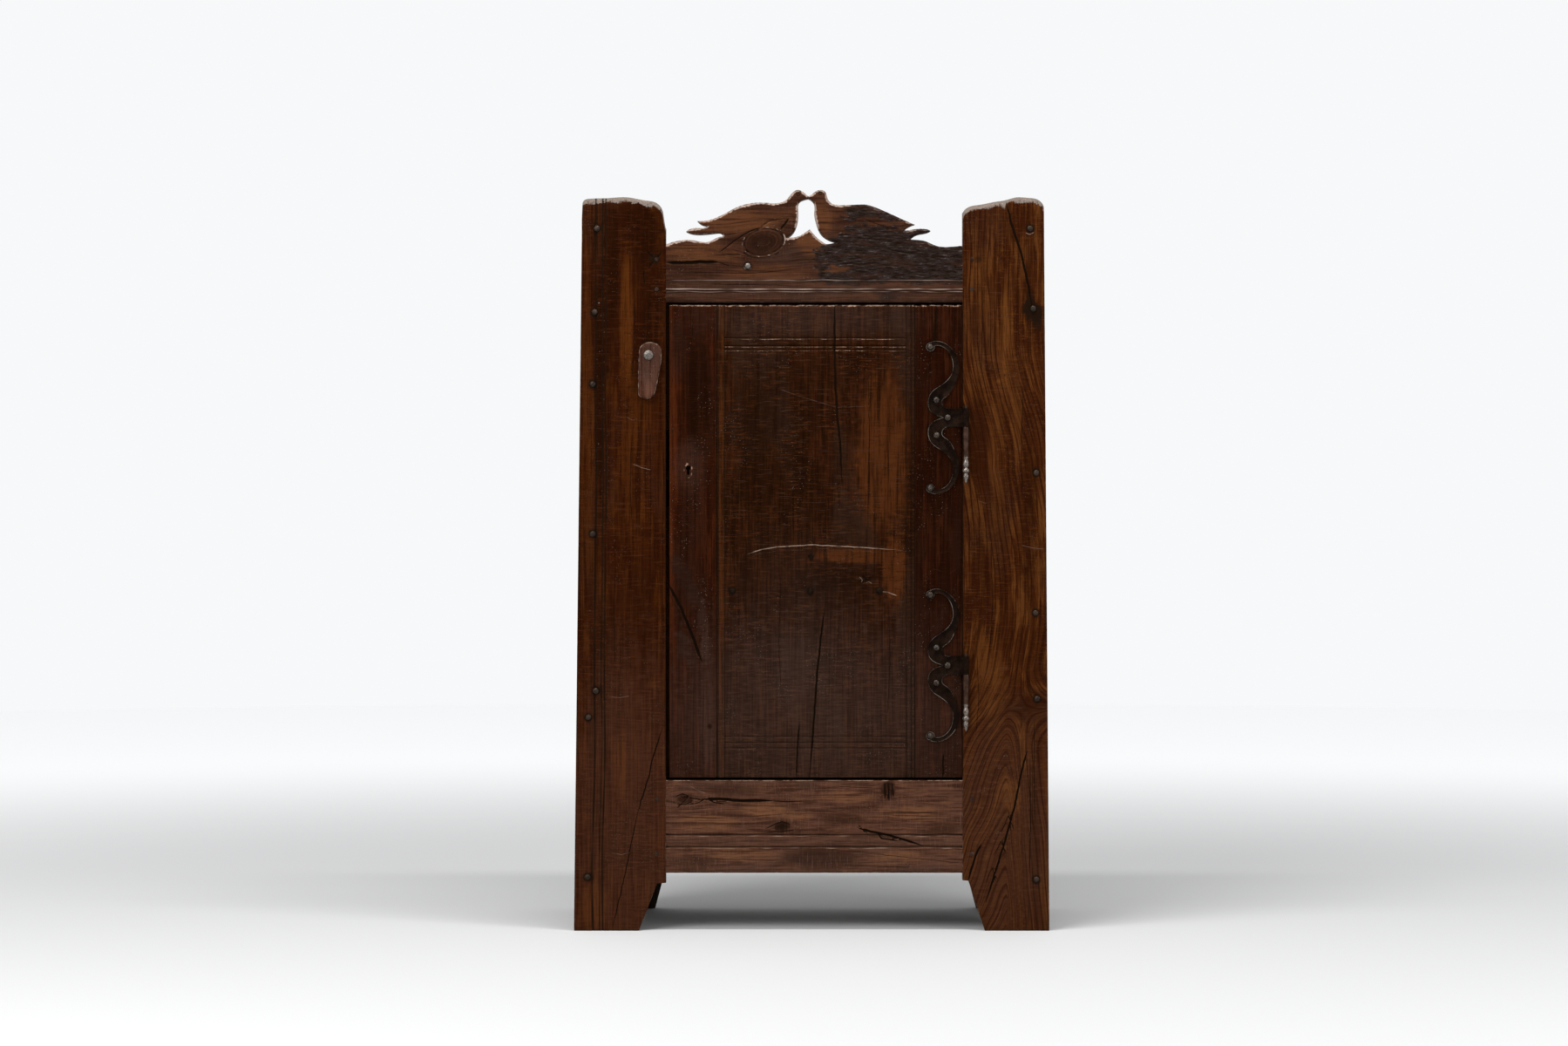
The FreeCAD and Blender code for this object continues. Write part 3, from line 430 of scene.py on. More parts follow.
left_nails = [(-419, 1370), (-424, 1206), (-427, 1067), (-427, 775), (-420, 469), (-436, 416), (-437, 105)]
left_marks = marks(
    (0.8, (-291, 396), (-312, 330), (-318, 300), (-340, 229)), (0.6, (-340, 229), (-362, 120), (-388, 8)),
    (-0.5, (-334, 1081), (-322, 1072), (-312, 1062)), (-0.6, (-328, 1052), (-317, 1042), (-304, 1044)),
    (-0.6, (-352, 912), (-330, 903), (-312, 899)), (-0.4, (-398, 1030), (-388, 1029)),
    (-0.45, (-362, 1002), (-350, 996), (-338, 999)), (0.35, (-345, 1240), (-347, 1130), (-350, 1080)),
    (0.35, (-352, 960), (-354, 860), (-351, 800)), (0.8, (-327, 1288), (-328, 1275), (-326, 1262)),
    (0.4, (-318, 1225), (-322, 1160), (-320, 1120)), (0.3, (-384, 700), (-386, 600), (-383, 520)),
    (-0.5, (-395, 457), (-375, 455), (-352, 458)), (-0.5, (-392, 152), (-372, 149), (-355, 153)),
    (1.1, (-321, 1326), (-309, 1314)), (1.0, (-293, 1324), (-301, 1313)), (1.0, (-318, 1294), (-309, 1305)),
)
left_stains = [
    (-361, 1190, 12, 120, 0.55), (-366, 1335, 18, 50, 0.15), (-392, 1240, 14, 150, -0.4),
    (-320, 1240, 36, 160, -0.35), (-440, 1000, 13, 380, 0.12), (-413, 1040, 8, 210, -0.6),
    (-373, 320, 12, 60, 0.5), (-425, 50, 26, 50, 0.5), (-345, 900, 22, 150, 0.15),
    (-330, 640, 30, 90, -0.25), (-400, 560, 24, 100, -0.2), (-360, 200, 120, 330, 0, 0.42),
    (-350, 1370, 60, 60, -0.4), (-345, 1120, 26, 160, 0.1), (-388, 1300, 16, 90, -0.3),
    (-412, 1180, 14, 150, -0.35), (-312, 1180, 16, 60, -0.3), (-305, 1310, 12, 11, 0, -0.95),
    (-304, 1252, 9, 9, 0, -0.7),
]


def left_stile_look(x, z, rim):
    """The scratched lines run down the outer side, and the band between them is pitted; the rounded top
    carries a painted highlight, and a painted shadow runs beside the door.
    """
    found = aged(x, z, rim, 1.7, left_marks, left_nails, left_stains, crown=(12, 5),
                 knots=[(-352, 1090, 10, 60, 0)])
    drift = 4 * waver(0, z / 240, 2) - 6 * max(0, 1 - z / 900)
    scored_down(found, x - drift, z, ((-421, 2.2, 1.6), (-407.5, 1.7, 1.0), (-401.5, 1.9, 1.3)),
                0.9, 0.5, 70, 0.5, 1.15)
    if -421 < x < -403 and 380 < z < 1280:
        pits = max(0, waver(x / 2.4, z / 2.8, 8) - 0.1)
        found[DEPTH] += 1.8 * pits
        add(found, WEAR_AND_HIGHLIGHT, 2.2 * max(0, pits - 0.2) * (900 < z < 1250))
        add(found, DIRT_AND_SHADE, 0.5 * pits)
    beside_door(found, z, rim[1], 3.2)
    return found


plank("left_front_stile", left_stile_look,
      old_wood("waxed_wood_left_stile", (0.014, 0.0020, 0.0005), (0.029, 0.0062, 0.0013),
               (0.064, 0.0170, 0.0028), (0.027, 0.0088, 0.0042), seed=2.0, smoky=0.4,
               rubbed=(0.17, 0.14, 0.12),
               dust_sheen_colour=(0.078, 0.0330, 0.0195), short=1.6, lively=0.5, streaky=1.3, specks=0.25),
      shoulder=1360, upright=(-436, -372), close_across=(-420.5, -405), close_up=(93,))

# Right front stile: the other thick plank, from wilder wood. Above it is streaked, and below the saw went
# through a bow in the trunk, so its rings stand in pointed arches. Long cracks run down from top and foot.

right_nails = [(426, 1370), (432, 1213), (438, 894), (437, 620), (440, 452), (438, 100)]
right_marks = marks(
    (1.4, (380, 1419), (389, 1382), (396, 1359), (409, 1320), (421, 1268), (431, 1212)),
    (1.2, (421, 351), (413, 326), (397, 248), (380, 183), (360, 120), (340, 56)),
    (1.3, (331, 169), (319, 146), (306, 100)), (-0.5, (406, 753), (430, 747), (459, 744)),
    (-0.4, (322, 840), (340, 834), (352, 838)), (0.35, (330, 1330), (333, 1180), (331, 1090)),
    (0.4, (412, 1060), (409, 930), (411, 840)), (0.35, (350, 780), (353, 640), (347, 540)),
    (0.3, (322, 560), (326, 450), (320, 380)), (0.5, (426, 340), (427, 200), (425, 110)),
    (0.4, (435, 420), (434, 300), (436, 210)), (-0.8, (417, 1362), (426, 1359), (435, 1363)),
    (0.45, (370, 190), (384, 225), (395, 196)), (0.4, (355, 146), (369, 175), (381, 150)),
    (0.4, (339, 94), (352, 123), (363, 98)),
)
right_stains = [
    (432, 1208, 18, 20, -0.5, -0.9), (427, 1231, 9, 24, -0.4, -0.7), (440, 1188, 9, 26, -0.4, -0.7),
    (417, 1214, 9, 12, -0.3, -0.5), (340, 1290, 22, 110, 0.25), (380, 1150, 14, 110, 0.5),
    (400, 1000, 12, 110, 0.35), (360, 900, 15, 150, 0.25), (325, 960, 20, 110, -0.3),
    (424, 800, 14, 170, -0.3), (352, 480, 26, 70, 0.3), (390, 264, 17, 32, 0.7), (414, 379, 6, 24, 0.6),
    (414, 333, 5, 22, 0.5), (438, 230, 12, 160, -0.3), (392, 1370, 14, 36, -0.25),
    (418, 703, 4, 8, -0.3, -0.5), (377, 1084, 2.5, 3.5, 0, -0.9), (381, 1120, 5, 5, -0.2, -0.3),
    (330, 700, 20, 130, -0.2), (380, 190, 130, 230, 0.06, 0.3), (325, 1310, 9, 9, 0, -0.7),
    (327, 1252, 8, 8, 0, -0.5), (350, 1370, 30, 50, -0.3, 0.1),
]


def raise_to(found, kind, level):
    found[kind] = max(found[kind], level)


def eased(share):
    """A share held between 0 and 1, with a soft start and end."""
    share = min(max(share, 0), 1)
    return share * share * (3 - 2 * share)


def arched_rings(x, z):
    """The rings run up the plank, swing outwards at two thirds of its height, and lean into pointed arches
    towards its foot."""
    arch = eased((520 - z) / 170)
    reach = x - 381 + 3 * waver(x / 60, z / 90, 4)
    lean = 0.36 if reach < 0 else 0.36 - 0.27 * min(reach / 34, 1)
    peak = (reach * reach + 60) ** 0.5 + lean * (z - 430) * (1 + 0.06 * waver(x / 40, z / 70, 6))
    slant = 0.13 * min(max((900 - z) / 300, 0), 1) * (z - 430)
    swing = 46 * eased((1150 - z) / 240)
    return (381 - x + slant + swing) * (1 - arch) + peak * arch, z * (1 - 0.5 * arch)


def right_stile_look(x, z, rim):
    """The top is chipped away in a few places and its rounded top carries a painted highlight; scored lines
    follow the outer side, and a painted shadow runs beside the door.
    """
    found = aged(x, z, rim, 4.1, right_marks, right_nails, right_stains, crown=(11, 5), figure=arched_rings)
    if 364 < x < 384 and rim[3] < 30:
        chip = max(0, 1 - hypot((x - 374) / 9, rim[3] / 26))
        found[DEPTH] += 5 * chip
        raise_to(found, WEAR_AND_HIGHLIGHT, min(1, 1.6 * chip))
    scored_down(found, x - 3 * waver(1, z / 200, 2), z, ((408.5, 1.6, 0.6), (423, 2.0, 0.9),
                (435, 1.6, 0.8 * (z < 1200))), 0.35, 0.9, 80, 0, 0.7)
    beside_door(found, z, rim[0], 2.6)
    return found


plank("right_front_stile", right_stile_look,
      old_wood("waxed_wood_right_stile", (0.021, 0.0038, 0.0010), (0.042, 0.0105, 0.0025),
               (0.092, 0.0300, 0.0068), (0.028, 0.0105, 0.0052), seed=11.0, rings=0.85, smoky=0.4,
               rubbed=(0.17, 0.14, 0.12), dust_sheen_colour=(0.088, 0.0400, 0.0240), short=1.5, specks=0.25, lively=0.85),
      shoulder=1385, upright=(385, 436), close_across=(423,), close_up=(98,))

# Bottom rail: a board across the front under the door, tenoned and pegged into both stiles, with two lines
# scraped along it as a moulding. It is paler and drier than the rest, knotty, and split along its grain.

rail_lines = (164.0, 186.1)
rail_marks = marks(
    (1.8, (-215, 257), (-180, 257), (-140, 254), (-77, 254)), (0.7, (-255, 262), (-235, 259), (-215, 257)),
    (0.6, (-77, 254), (-50, 252), (-14, 253)), (0.7, (-205, 258), (-190, 250), (-170, 247)),
    (1.4, (92, 200), (108, 196), (128, 191), (148, 187), (180, 178), (216, 166)),
    (0.9, (128, 191), (137, 180), (168, 176)), (0.6, (92, 207), (104, 192)),
    (0.5, (-240, 246), (-225, 249), (-205, 258)), (0.5, (-262, 240), (-250, 252), (-240, 262)),
    (0.35, (40, 282), (120, 279)), (0.35, (150, 233), (250, 229)), (0.3, (-250, 222), (-180, 219)),
    (0.3, (-40, 235), (60, 232)), (0.3, (-200, 140), (-60, 137)), (0.3, (120, 150), (288, 133)),
    (0.3, (60, 128), (190, 124)), (-0.5, (-240, 283), (-222, 274), (-205, 268)),
    (0.8, (142, 289), (143, 258)), (0.9, (149, 290), (151, 254)), (0.8, (157, 287), (160, 262)),
    (0.6, (-90, 200), (-74, 207), (-58, 213), (-40, 207)), (0.6, (-88, 194), (-58, 193), (-34, 197)),
    (0.5, (-266, 262), (-252, 268), (-238, 262)), (0.5, (-262, 248), (-246, 246), (-232, 254)),
)
rail_stains = [
    (-58, 204, 15, 9, -0.6, -0.8), (150, 275, 12, 18, -0.6, -0.45), (-247, 258, 16, 9, -0.4, -0.25),
    (-11, 285, 20, 9, -0.3, 0.4), (-95, 236, 44, 13, 0.6), (-200, 212, 60, 15, 0.45), (-30, 224, 30, 9, 0.4),
    (70, 262, 60, 12, 0.35), (200, 228, 60, 14, 0.4), (255, 200, 34, 16, -0.3), (60, 218, 44, 12, -0.35),
    (-160, 275, 60, 12, -0.3), (20, 142, 74, 20, -0.55), (-140, 146, 66, 16, 0.4), (160, 142, 56, 16, 0.4),
    (-235, 135, 40, 12, -0.25), (0, 130, 300, 24, 0, 0.25),
]


def scored_across(found, lift, dark, grime_and_shade, width, pale, lip, thin):
    """A line scraped across a board, darkened in it, with a painted highlight on the lip beside it."""
    add(found, DIRT_AND_SHADE, grime_and_shade * bell((lift - dark) / width))
    raise_to(found, WEAR_AND_HIGHLIGHT, lip * bell((lift - pale) / thin))


def rail_look(x, z, rim):
    """The moulding's two scraped lines have a painted highlight on their lower lips; the top edge is rubbed by
    the door's use and carries a painted highlight.
    """
    found = aged(x, z, rim, 7.7, rail_marks, (), rail_stains, sideways=True, arris=1.6,
                 seams=(0.3, 0.3, 1, 0.8),
                 knots=[(-58, 203, 34, 18, 0.3), (149, 277, 26, 14, 0.3), (-247, 258, 34, 16, 0.2)])
    for level, dark, pale in zip(rail_lines, (0.0, 2.2), (-3.2, -1.4)):
        scored_across(found, z - level - 1.3 * waver(x / 40, level, 1), dark, 0.9, 1.6,
                      pale, 0.58 + 0.35 * waver(x / 25, level, 5), 1.7)
    add(found, DIRT_AND_SHADE, 0.6 * exp(-rim[0] / 4) + 0.6 * exp(-rim[1] / 4))
    add(found, DUST_AND_SHEEN, 0.35 * exp(-((z - 175) / 9) ** 4))
    return found


plank("bottom_rail", rail_look,
      old_wood("dry_wood_bottom_rail", (0.042, 0.0170, 0.0110), (0.088, 0.0385, 0.0240),
               (0.142, 0.0610, 0.0300), (0.060, 0.0350, 0.0290), seed=23.0, cross=0.35, smoky=0.75,
               rubbed=(0.24, 0.16, 0.115), streaky=2.6, short=4.0, lively=0.42),
      close_up=rail_lines, span=(-286, 296.4), sideways=True)

# Crest rail: one board tenoned between the stiles over the door. Two doves that meet beak to beak are sawn
# out of its top and rounded with a knife. Its right half was burnt and is silvery and wrinkled.

crest_marks = marks(
    (2.1, (-284, 1304), (-250, 1303), (-215, 1305), (-182, 1305)),
    (0.5, (-182, 1305), (-170, 1300), (-160, 1296)), (0.6, (-178, 1320), (-160, 1319), (-139, 1320)),
    (0.8, (-180, 1324), (-165, 1335), (-148, 1348), (-131, 1360), (-112, 1368), (-96, 1373)),
    (1.2, (-45, 1388), (-52, 1379), (-61, 1369)), (0.5, (60, 1303), (90, 1301), (130, 1303)),
    (0.5, (150, 1330), (185, 1322), (215, 1322)), (0.5, (230, 1320), (262, 1314), (285, 1316)),
    (0.4, (100, 1390), (140, 1374), (176, 1368)), (0.4, (85, 1352), (140, 1349)),
    (0.4, (200, 1290), (280, 1286)), (0.35, (-260, 1285), (-120, 1283), (-60, 1287)),
    (0.35, (-200, 1262), (-40, 1259)),
)
crest_stains = [
    (-225, 1318, 60, 22, 0.45), (-150, 1385, 90, 24, 0.45), (-3, 1340, 24, 22, 0.6),
    (-100, 1282, 90, 14, 0.3), (45, 1291, 30, 8, 0.6), (20, 1388, 22, 32, 0.5), (-95, 1343, 37, 23, -0.5),
    (-210, 1290, 60, 16, -0.2), (0, 1250, 300, 30, 0, 0.3),
]
wing = [(-98, 1373), (-93, 1378), (-86, 1383), (-76, 1386.5), (-64, 1388.5), (-54, 1389), (-45, 1388)]
unburnt = ((45, 1291, 30, 8), (120, 1384, 46, 12), (20, 1388, 20, 30), (190, 1372, 30, 7))
mould_lines = ((1269.0, -3.0, 0.2, 1.1), (1252.0, -3.0, 0.0, 1.5), (1247.0, -2.6, 0.0, 1.0))


def way_to(x, z, run):
    """How far a place is from a carved line."""
    found = 99
    for (ax, az), (bx, bz) in zip(run, run[1:]):
        share = ((x - ax) * (bx - ax) + (z - az) * (bz - az)) / ((bx - ax) ** 2 + (bz - az) ** 2)
        share = min(max(share, 0), 1)
        found = min(found, hypot(x - ax - share * (bx - ax), z - az - share * (bz - az)))
    return found


def knot_ring(found, x, z):
    """The oval knot, dark in its ring, with a torn pale rim."""
    turn = radians(12)
    off_x, off_z = x + 93.5, z - 1344
    oval = hypot((off_x * cos(turn) + off_z * sin(turn)) / 39, (off_z * cos(turn) - off_x * sin(turn)) / 25.5)
    if oval < 1.3:
        bite = 0.75 + waver(x / 8, z / 8, 2)
        found[DEPTH] += 2.0 * bell((oval - 1) / 0.05) * bite - 0.4 * (oval < 1)
        raise_to(found, WEAR_AND_HIGHLIGHT, 0.88 * bell((oval - 1.08) / 0.04) * (bite - 0.15))
        add(found, DIRT_AND_SHADE, 1.6 * bell((oval - 0.98 - 0.2 * (off_z < -19)) / 0.05) * bite)
        if oval < 1:
            found[ACROSS], found[ALONG] = 26 * oval, atan2(off_z, off_x) * 12


def burning(x, z):
    """How burnt the right half is: torn at its left edge, weaker over the moulding, spared in spots."""
    torn = waver(x / 16, z / 9, 21) + 0.6 * waver(x / 6, z / 4, 22)
    left_edge = -4 + 14 * waver(z / 30, x / 200, 3) + 54 * min(max((z - 1335) / 25, 0), 1)
    burnt = min(max((x - left_edge + 15 * torn) / 26, 0), 1) * (0.92 + 0.3 * waver(x / 50, z / 22, 12))
    low_burn = max(0, 0.24 + 0.5 * waver(x / 60, z / 14, 4))
    burnt *= low_burn + (1 - low_burn) * min(max((z - 1258 + 9 * torn) / 22, 0), 1)
    for spot_x, spot_z, wide, tall in unburnt:
        spared = ((x - spot_x) / wide) ** 2 + ((z - spot_z) / tall) ** 2
        burnt *= 1 - 0.85 * exp(-spared * (1 + 0.9 * torn) - 0.5 * max(torn, 0))
    return burnt


def crest_look(x, z, rim):
    """The oval knot, the wing and its shadow line, the eyes, the burn, a painted shadow along the foot above
    the door, and the moulding with painted highlights on the lips of its lines.
    """
    found = aged(x, z, rim, 9.3, crest_marks, [(-124.5, 1297)], crest_stains, knots=[(-95, 1343, 52, 34, 0)],
                 sideways=True, arris=1.6, crown=(4.6, 2.0), seams=(0.3, 0.3, 1, 1))
    knot_ring(found, x, z)
    if -170 < x < -30 and 1335 < z < 1400:
        line = way_to(x, z, wing)
        found[DEPTH] += 2.0 * bell(line / 1.9)
        raise_to(found, WEAR_AND_HIGHLIGHT, 0.55 * (0.8 + 0.6 * waver(x / 9, z / 9, 6)) * bell((line - 2.6) / 1.2))
        add(found, DIRT_AND_SHADE, 0.8 * bell(line / 1.5))
        add(found, TONE, 0.15 * bell(line / 7))
    for eye_x, eye_z in ((-26, 1436), (17, 1438)):
        near = hypot(x - eye_x, z - eye_z)
        if near < 9:
            found[DEPTH] += 1.3 * bell((near - 2.6) / 1.1)
            add(found, DIRT_AND_SHADE, bell((near - 2.6) / 1.2))
            raise_to(found, WEAR_AND_HIGHLIGHT, 0.7 * bell(near / 1.3))
    if abs(x + 7) < 5 and z > 1418:
        add(found, DIRT_AND_SHADE, 1.4 * bell((x + 7) / 1.3))
    burnt = burning(x, z)
    # Painted shadow along the crest's foot, over the gap above the door.
    add(found, DIRT_AND_SHADE, 0.8 * bell((z - DOOR_HEAD) / 2.4))
    found[BURNT] = min(1, max(found[BURNT], burnt))
    if burnt > 0.1:
        creases = waver(x / 11, z / 2.2, 7) + 0.7 * waver(x / 6, z / 1.5, 9)
        found[DEPTH] += 1.4 * burnt * max(0, creases) + 0.9 * burnt * max(0, waver(x / 9, z / 9, 3))
        found[WEAR_AND_HIGHLIGHT] *= 1 - 0.6 * burnt
    for level, dark, pale, thin in mould_lines:
        scored_across(found, z - level - 1.2 * waver(x / 45, level, 1), dark, 0.8, 1.3,
                      pale, 0.74 + 0.4 * waver(x / 30, level, 5), thin)
    return found


def welded(node, flat=0):
    """A copy of a CAD piece with its triangles joined, and its flat faces made whole."""
    shape = bmesh.new()
    shape.from_mesh(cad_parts[node].data)
    bmesh.ops.remove_doubles(shape, verts=shape.verts, dist=1e-6)
    if flat:
        bmesh.ops.dissolve_limit(shape, angle_limit=radians(flat), verts=shape.verts, edges=shape.edges)
    return shape


def carved_face():
    return [face for face in crest_shape.faces
            if face.normal.y < -0.2 and face.calc_center_median().y < face_y + 0.0025]


FAR = 40
crest_shape = welded("crest_rail", 0.5)
outline = BVHTree.FromBMesh(crest_shape)
face_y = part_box("crest_rail")[0].y
bmesh.ops.bisect_plane(crest_shape, geom=crest_shape.verts[:] + crest_shape.edges[:] + crest_shape.faces[:],
                       dist=1e-6, plane_co=(0, face_y + 0.007, 0), plane_no=(0, 1, 0))
crest_rows = places(DOOR_HEAD, 1446, 1.7, close=(1248, 1252, 1268.5), near=4, fine=0.8)
for axis, levels in ((0, places(-284, 295, 1.7)), (2, crest_rows)):
    front = carved_face()
    for level in levels:
        place, way = Vector(), Vector()
        place[axis], way[axis] = level / 1000, 1
        parts = set(front)
        for face in front:
            parts.update(face.edges)
            parts.update(face.verts)
        cut = bmesh.ops.bisect_plane(crest_shape, geom=list(parts), dist=1e-6, plane_co=place, plane_no=way)
        front = [part for part in cut["geom"] if isinstance(part, bmesh.types.BMFace)
                 and max(point.co[axis] for point in part.verts) > place[axis] + 1e-6]
crest_looks = {}
crest_shape.verts.index_update()
for point in crest_shape.verts:
    if point.co.y < face_y + 0.0025:
        x, z = 1000 * point.co.x, 1000 * point.co.z
        heart = Vector((point.co.x, face_y + 0.006, point.co.z))
        gaps = []
        for way in ((0, 0, 1), (0.7, 0, 0.7), (-0.7, 0, 0.7), (1, 0, 0), (-1, 0, 0), (0, 0, -1)):
            spot = outline.ray_cast(heart, Vector(way), 0.03)[3]
            gaps.append(30 if spot is None else 1000 * spot)
        # The edge nearest a point gets the pale crown, a painted highlight of the light from above; where an
        # edge below is nearer than any edge above, the point counts as at the foot and gets plain edge wear
        # only.
        nearest = min(gaps) if -274 < x < 285 else gaps[0]
        rim = (FAR, FAR, FAR if z > 1250 else z - DOOR_HEAD, nearest if z > 1290 else FAR)
        if z > 1290 and nearest < 29 and gaps[5] < min(gaps[:3]):
            rim = (FAR, FAR, nearest, FAR)
        crest_looks[point.index] = crest_look(x, z, rim)
        point.co.y += crest_looks[point.index][DEPTH] / 1000
set_in_place("crest_rail_doves", crest_shape, "crest_rail", "carcass",
             old_wood("carved_wood_crest", (0.020, 0.0074, 0.0047), (0.041, 0.0158, 0.0094),
                      (0.078, 0.0290, 0.0120), (0.036, 0.0200, 0.0150), seed=31.0, rings=0.3, cross=0.2,
                      smoky=0.6, rubbed=(0.32, 0.24, 0.20), streaky=1.6, short=3.0, lively=0.6),
             looks=crest_looks, plain=lambda place: plain_wood(1000 * place.z, 1000 * place.x, 0.25, 0.1,
                                                               0.5 * (place.x > 0.02)))

# Door: three upright boards side by side, nailed to battens behind. Lines scratched along the joints and
# across the middle board make it look panelled. It has been waxed and handled until its edges went bright; its
# top edge also carries a painted highlight, and its side edges and foot a painted shade.

left_seam, right_seam = -185.5, 201.1
upright_lines = (-182.5, -169.5, 185.5, 195.3)
cross_lines = (1156.4, 1141.0, 1133.6, 356.1, 367.2, 378.7)
keyhole = (-240.7, 898.5)
door_marks = marks(
    (1.3, (45, 1222), (45, 1150), (46, 1067), (50, 1006), (56, 946), (59, 873)),
    (1.2, (25, 630), (17, 560), (11, 508), (6, 430), (-4, 299)), (0.9, (-24, 406), (-28, 350), (-30, 299)),
    (1.2, (243, 1220), (242, 1180), (240, 1145)), (1.1, (257, 345), (256, 299)),
    (1.8, (-279, 676), (-255, 630), (-230, 569), (-215, 526)),
    (-0.95, (-128, 734), (-97, 744), (-67, 749), (0, 753), (85, 749), (180, 742)),
    (0.5, (5, 758), (5.5, 748)), (-0.3, (229, 709), (252, 702), (270, 697), (288, 710)),
    (-0.6, (92, 691), (99, 684), (97, 679)), (-0.7, (103, 679), (112, 681), (118, 677)),
    (0.9, (98, 690), (108, 686), (117, 688)), (0.8, (101, 694), (106, 682)),
    (-0.4, (-73, 1060), (-20, 1042), (49, 1021), (125, 1025)), (-0.9, (137, 662), (150, 660), (168, 653)),
    (0.3, (-128, 1100), (-131, 960), (-127, 860)), (0.3, (110, 1100), (113, 960), (109, 800)),
    (0.3, (-60, 700), (-64, 560), (-60, 470)), (0.4, (-232, 1200), (-236, 1100), (-233, 1010)),
    (0.35, (150, 640), (153, 520), (148, 420)), (0.3, (-210, 480), (-213, 380), (-211, 320)),
    (0.4, (228, 700), (230, 560)),
)
door_nails = [(-155, 663), (-3, 662), (132, 663)]
# On the left board, the pale veiled spots along the diagonal crack, and the one at (-241, 908), are painted
# glints of the wax sheen, laid on as dust.
door_stains = [
    (-199, 399, 6, 6, 0, -0.9), (138, 930, 48, 140, 0.7), (162, 700, 22, 60, 0.7), (90, 732, 80, 13, 0.75),
    (108, 685, 14, 9, -0.2, -0.3), (40, 690, 85, 26, -0.3), (-70, 900, 60, 180, -0.15),
    (60, 650, 90, 30, -0.15), (-120, 950, 30, 130, -0.15), (-278, 930, 13, 330, 0.5),
    (-222, 1040, 26, 120, -0.5), (-262, 1130, 20, 60, -0.25, 0.1), (-241, 908, 30, 50, 0.1, 0.22),
    (-264, 716, 12, 20, -0.3, 0.14), (-247, 690, 14, 26, -0.4, 0.14), (-230, 655, 14, 28, -0.5, 0.2),
    (-213, 610, 10, 32, -0.4, 0.3), (-206, 555, 8, 32, -0.3, 0.34), (-251, 560, 11, 28, -0.4, 0.2),
    (-236, 528, 10, 20, -0.4, 0.16), (-205, 400, 16, 90, 0, 0.18), (0, 1192, 200, 36, 0, 0.26),
    (0, 400, 360, 200, 0, 0.36), (-40, 620, 120, 160, -0.08, 0.1), (245, 900, 40, 200, -0.15),
    (-50, 1040, 90, 90, -0.12),
]


def door_look(x, z, rim):
    """A painted highlight along the top edge, painted shade along the side edges and the foot, the scratched
    lines with their rubbed lips and a painted highlight on the lip below each line across, and a rim round the
    keyhole.
    """
    found = aged(x, z, (FAR, FAR, FAR, rim[3]), 13.1 + (x > left_seam) + (x > right_seam), door_marks,
                 door_nails, door_stains, crown=(3.2, 2.2), arris=1.5)
    found[WEAR_AND_HIGHLIGHT] *= 0.72 + 0.6 * waver(x / 8, z / 2.5, 4)
    seam = min(abs(x - left_seam), abs(x - right_seam))
    side = min(rim[0] if x < -230 else FAR, rim[1] if x > 240 else FAR)
    # The seams between the boards are sunk and dark; the darkening along the side edges and the foot is
    # painted shade of the gaps round the door.
    found[DEPTH] += 1.4 * exp(-seam / 0.9) + 0.8 * exp(-rim[2] / 1.5) + 1.2 * exp(-side / 1.8)
    add(found, DIRT_AND_SHADE, 0.9 * bell(seam / 1.3) + 0.5 * exp(-rim[2] / 2) + 0.6 * bell(side / 2.2))
    for line in upright_lines:
        drift = x - line - 0.8 * waver(line, z / 60, 1)
        add(found, DIRT_AND_SHADE, 0.9 * bell(drift / 1.2))
        raise_to(found, WEAR_AND_HIGHLIGHT, (0.1 + 0.5 * waver(line, z / 30, 5)) * bell((abs(drift) - 2.6) / 1.1))
    if -181 < x < -171:
        add(found, TONE, 0.3)
    if 186.5 < x < right_seam:
        found[TONE] = max(0, found[TONE] - 0.12)
    if -170 < x < 186:
        for level in cross_lines:
            force = 1 if level > 1000 else 0.5
            scored_across(found, z - level - 0.9 * waver(x / 45, level, 1), 0, 0.75 * force, 1.2,
                          -2.4, force * (0.6 + 0.4 * waver(x / 17, level, 5)), 1.1)
    dot = hypot(x + 1, z - 730)
    if dot < 12:
        raise_to(found, WEAR_AND_HIGHLIGHT, 0.9 * bell(dot / 2.2))
        add(found, DIRT_AND_SHADE, 0.5 * bell((dot - 4.5) / 1.6))
    near = hypot((x - keyhole[0]) / 7.5, (z - keyhole[1]) / 13)
    if near < 3:
        raise_to(found, WEAR_AND_HIGHLIGHT, 0.85 * bell((near - 1) / 0.28) * (0.7 + waver(x / 5, z / 5, 3)))
        add(found, DIRT_AND_SHADE, 0.35 * bell((near - 1.9) / 0.5))
    return found


for board, close_across, close_up, keyhole_depth, wood in (
        ("door_left_board", (keyhole[0], upright_lines[0]), (903, 890), 28.5,
         old_wood("waxed_wood_door_left", (0.0075, 0.0009, 0.0003), (0.0165, 0.0028, 0.0010),
                  (0.054, 0.0112, 0.0032), (0.016, 0.0052, 0.0032), seed=41.0, cross=0.4, lively=0.5)),
        ("door_centre_board", upright_lines, cross_lines, None,
         old_wood("waxed_wood_door_centre", (0.0065, 0.0014, 0.0005), (0.0165, 0.0042, 0.0016),
                  (0.056, 0.0155, 0.0040), (0.019, 0.0092, 0.0060), dust_sheen_colour=(0.060, 0.038, 0.030), seed=53.0,
                  cross=0.8, specks=0.4, smoky=0.7, short=2.4, lively=0.35)),
        ("door_right_board", (), (), None,
         old_wood("waxed_wood_door_right", (0.0045, 0.0005, 0.0002), (0.0115, 0.0016, 0.0006),
                  (0.030, 0.0070, 0.0028), (0.013, 0.0045, 0.0030), seed=67.0, cross=0.35))):
    plank(board, door_look, wood, body="door", step=2.4, close_across=close_across,
          close_up=close_up, through=keyhole_depth)

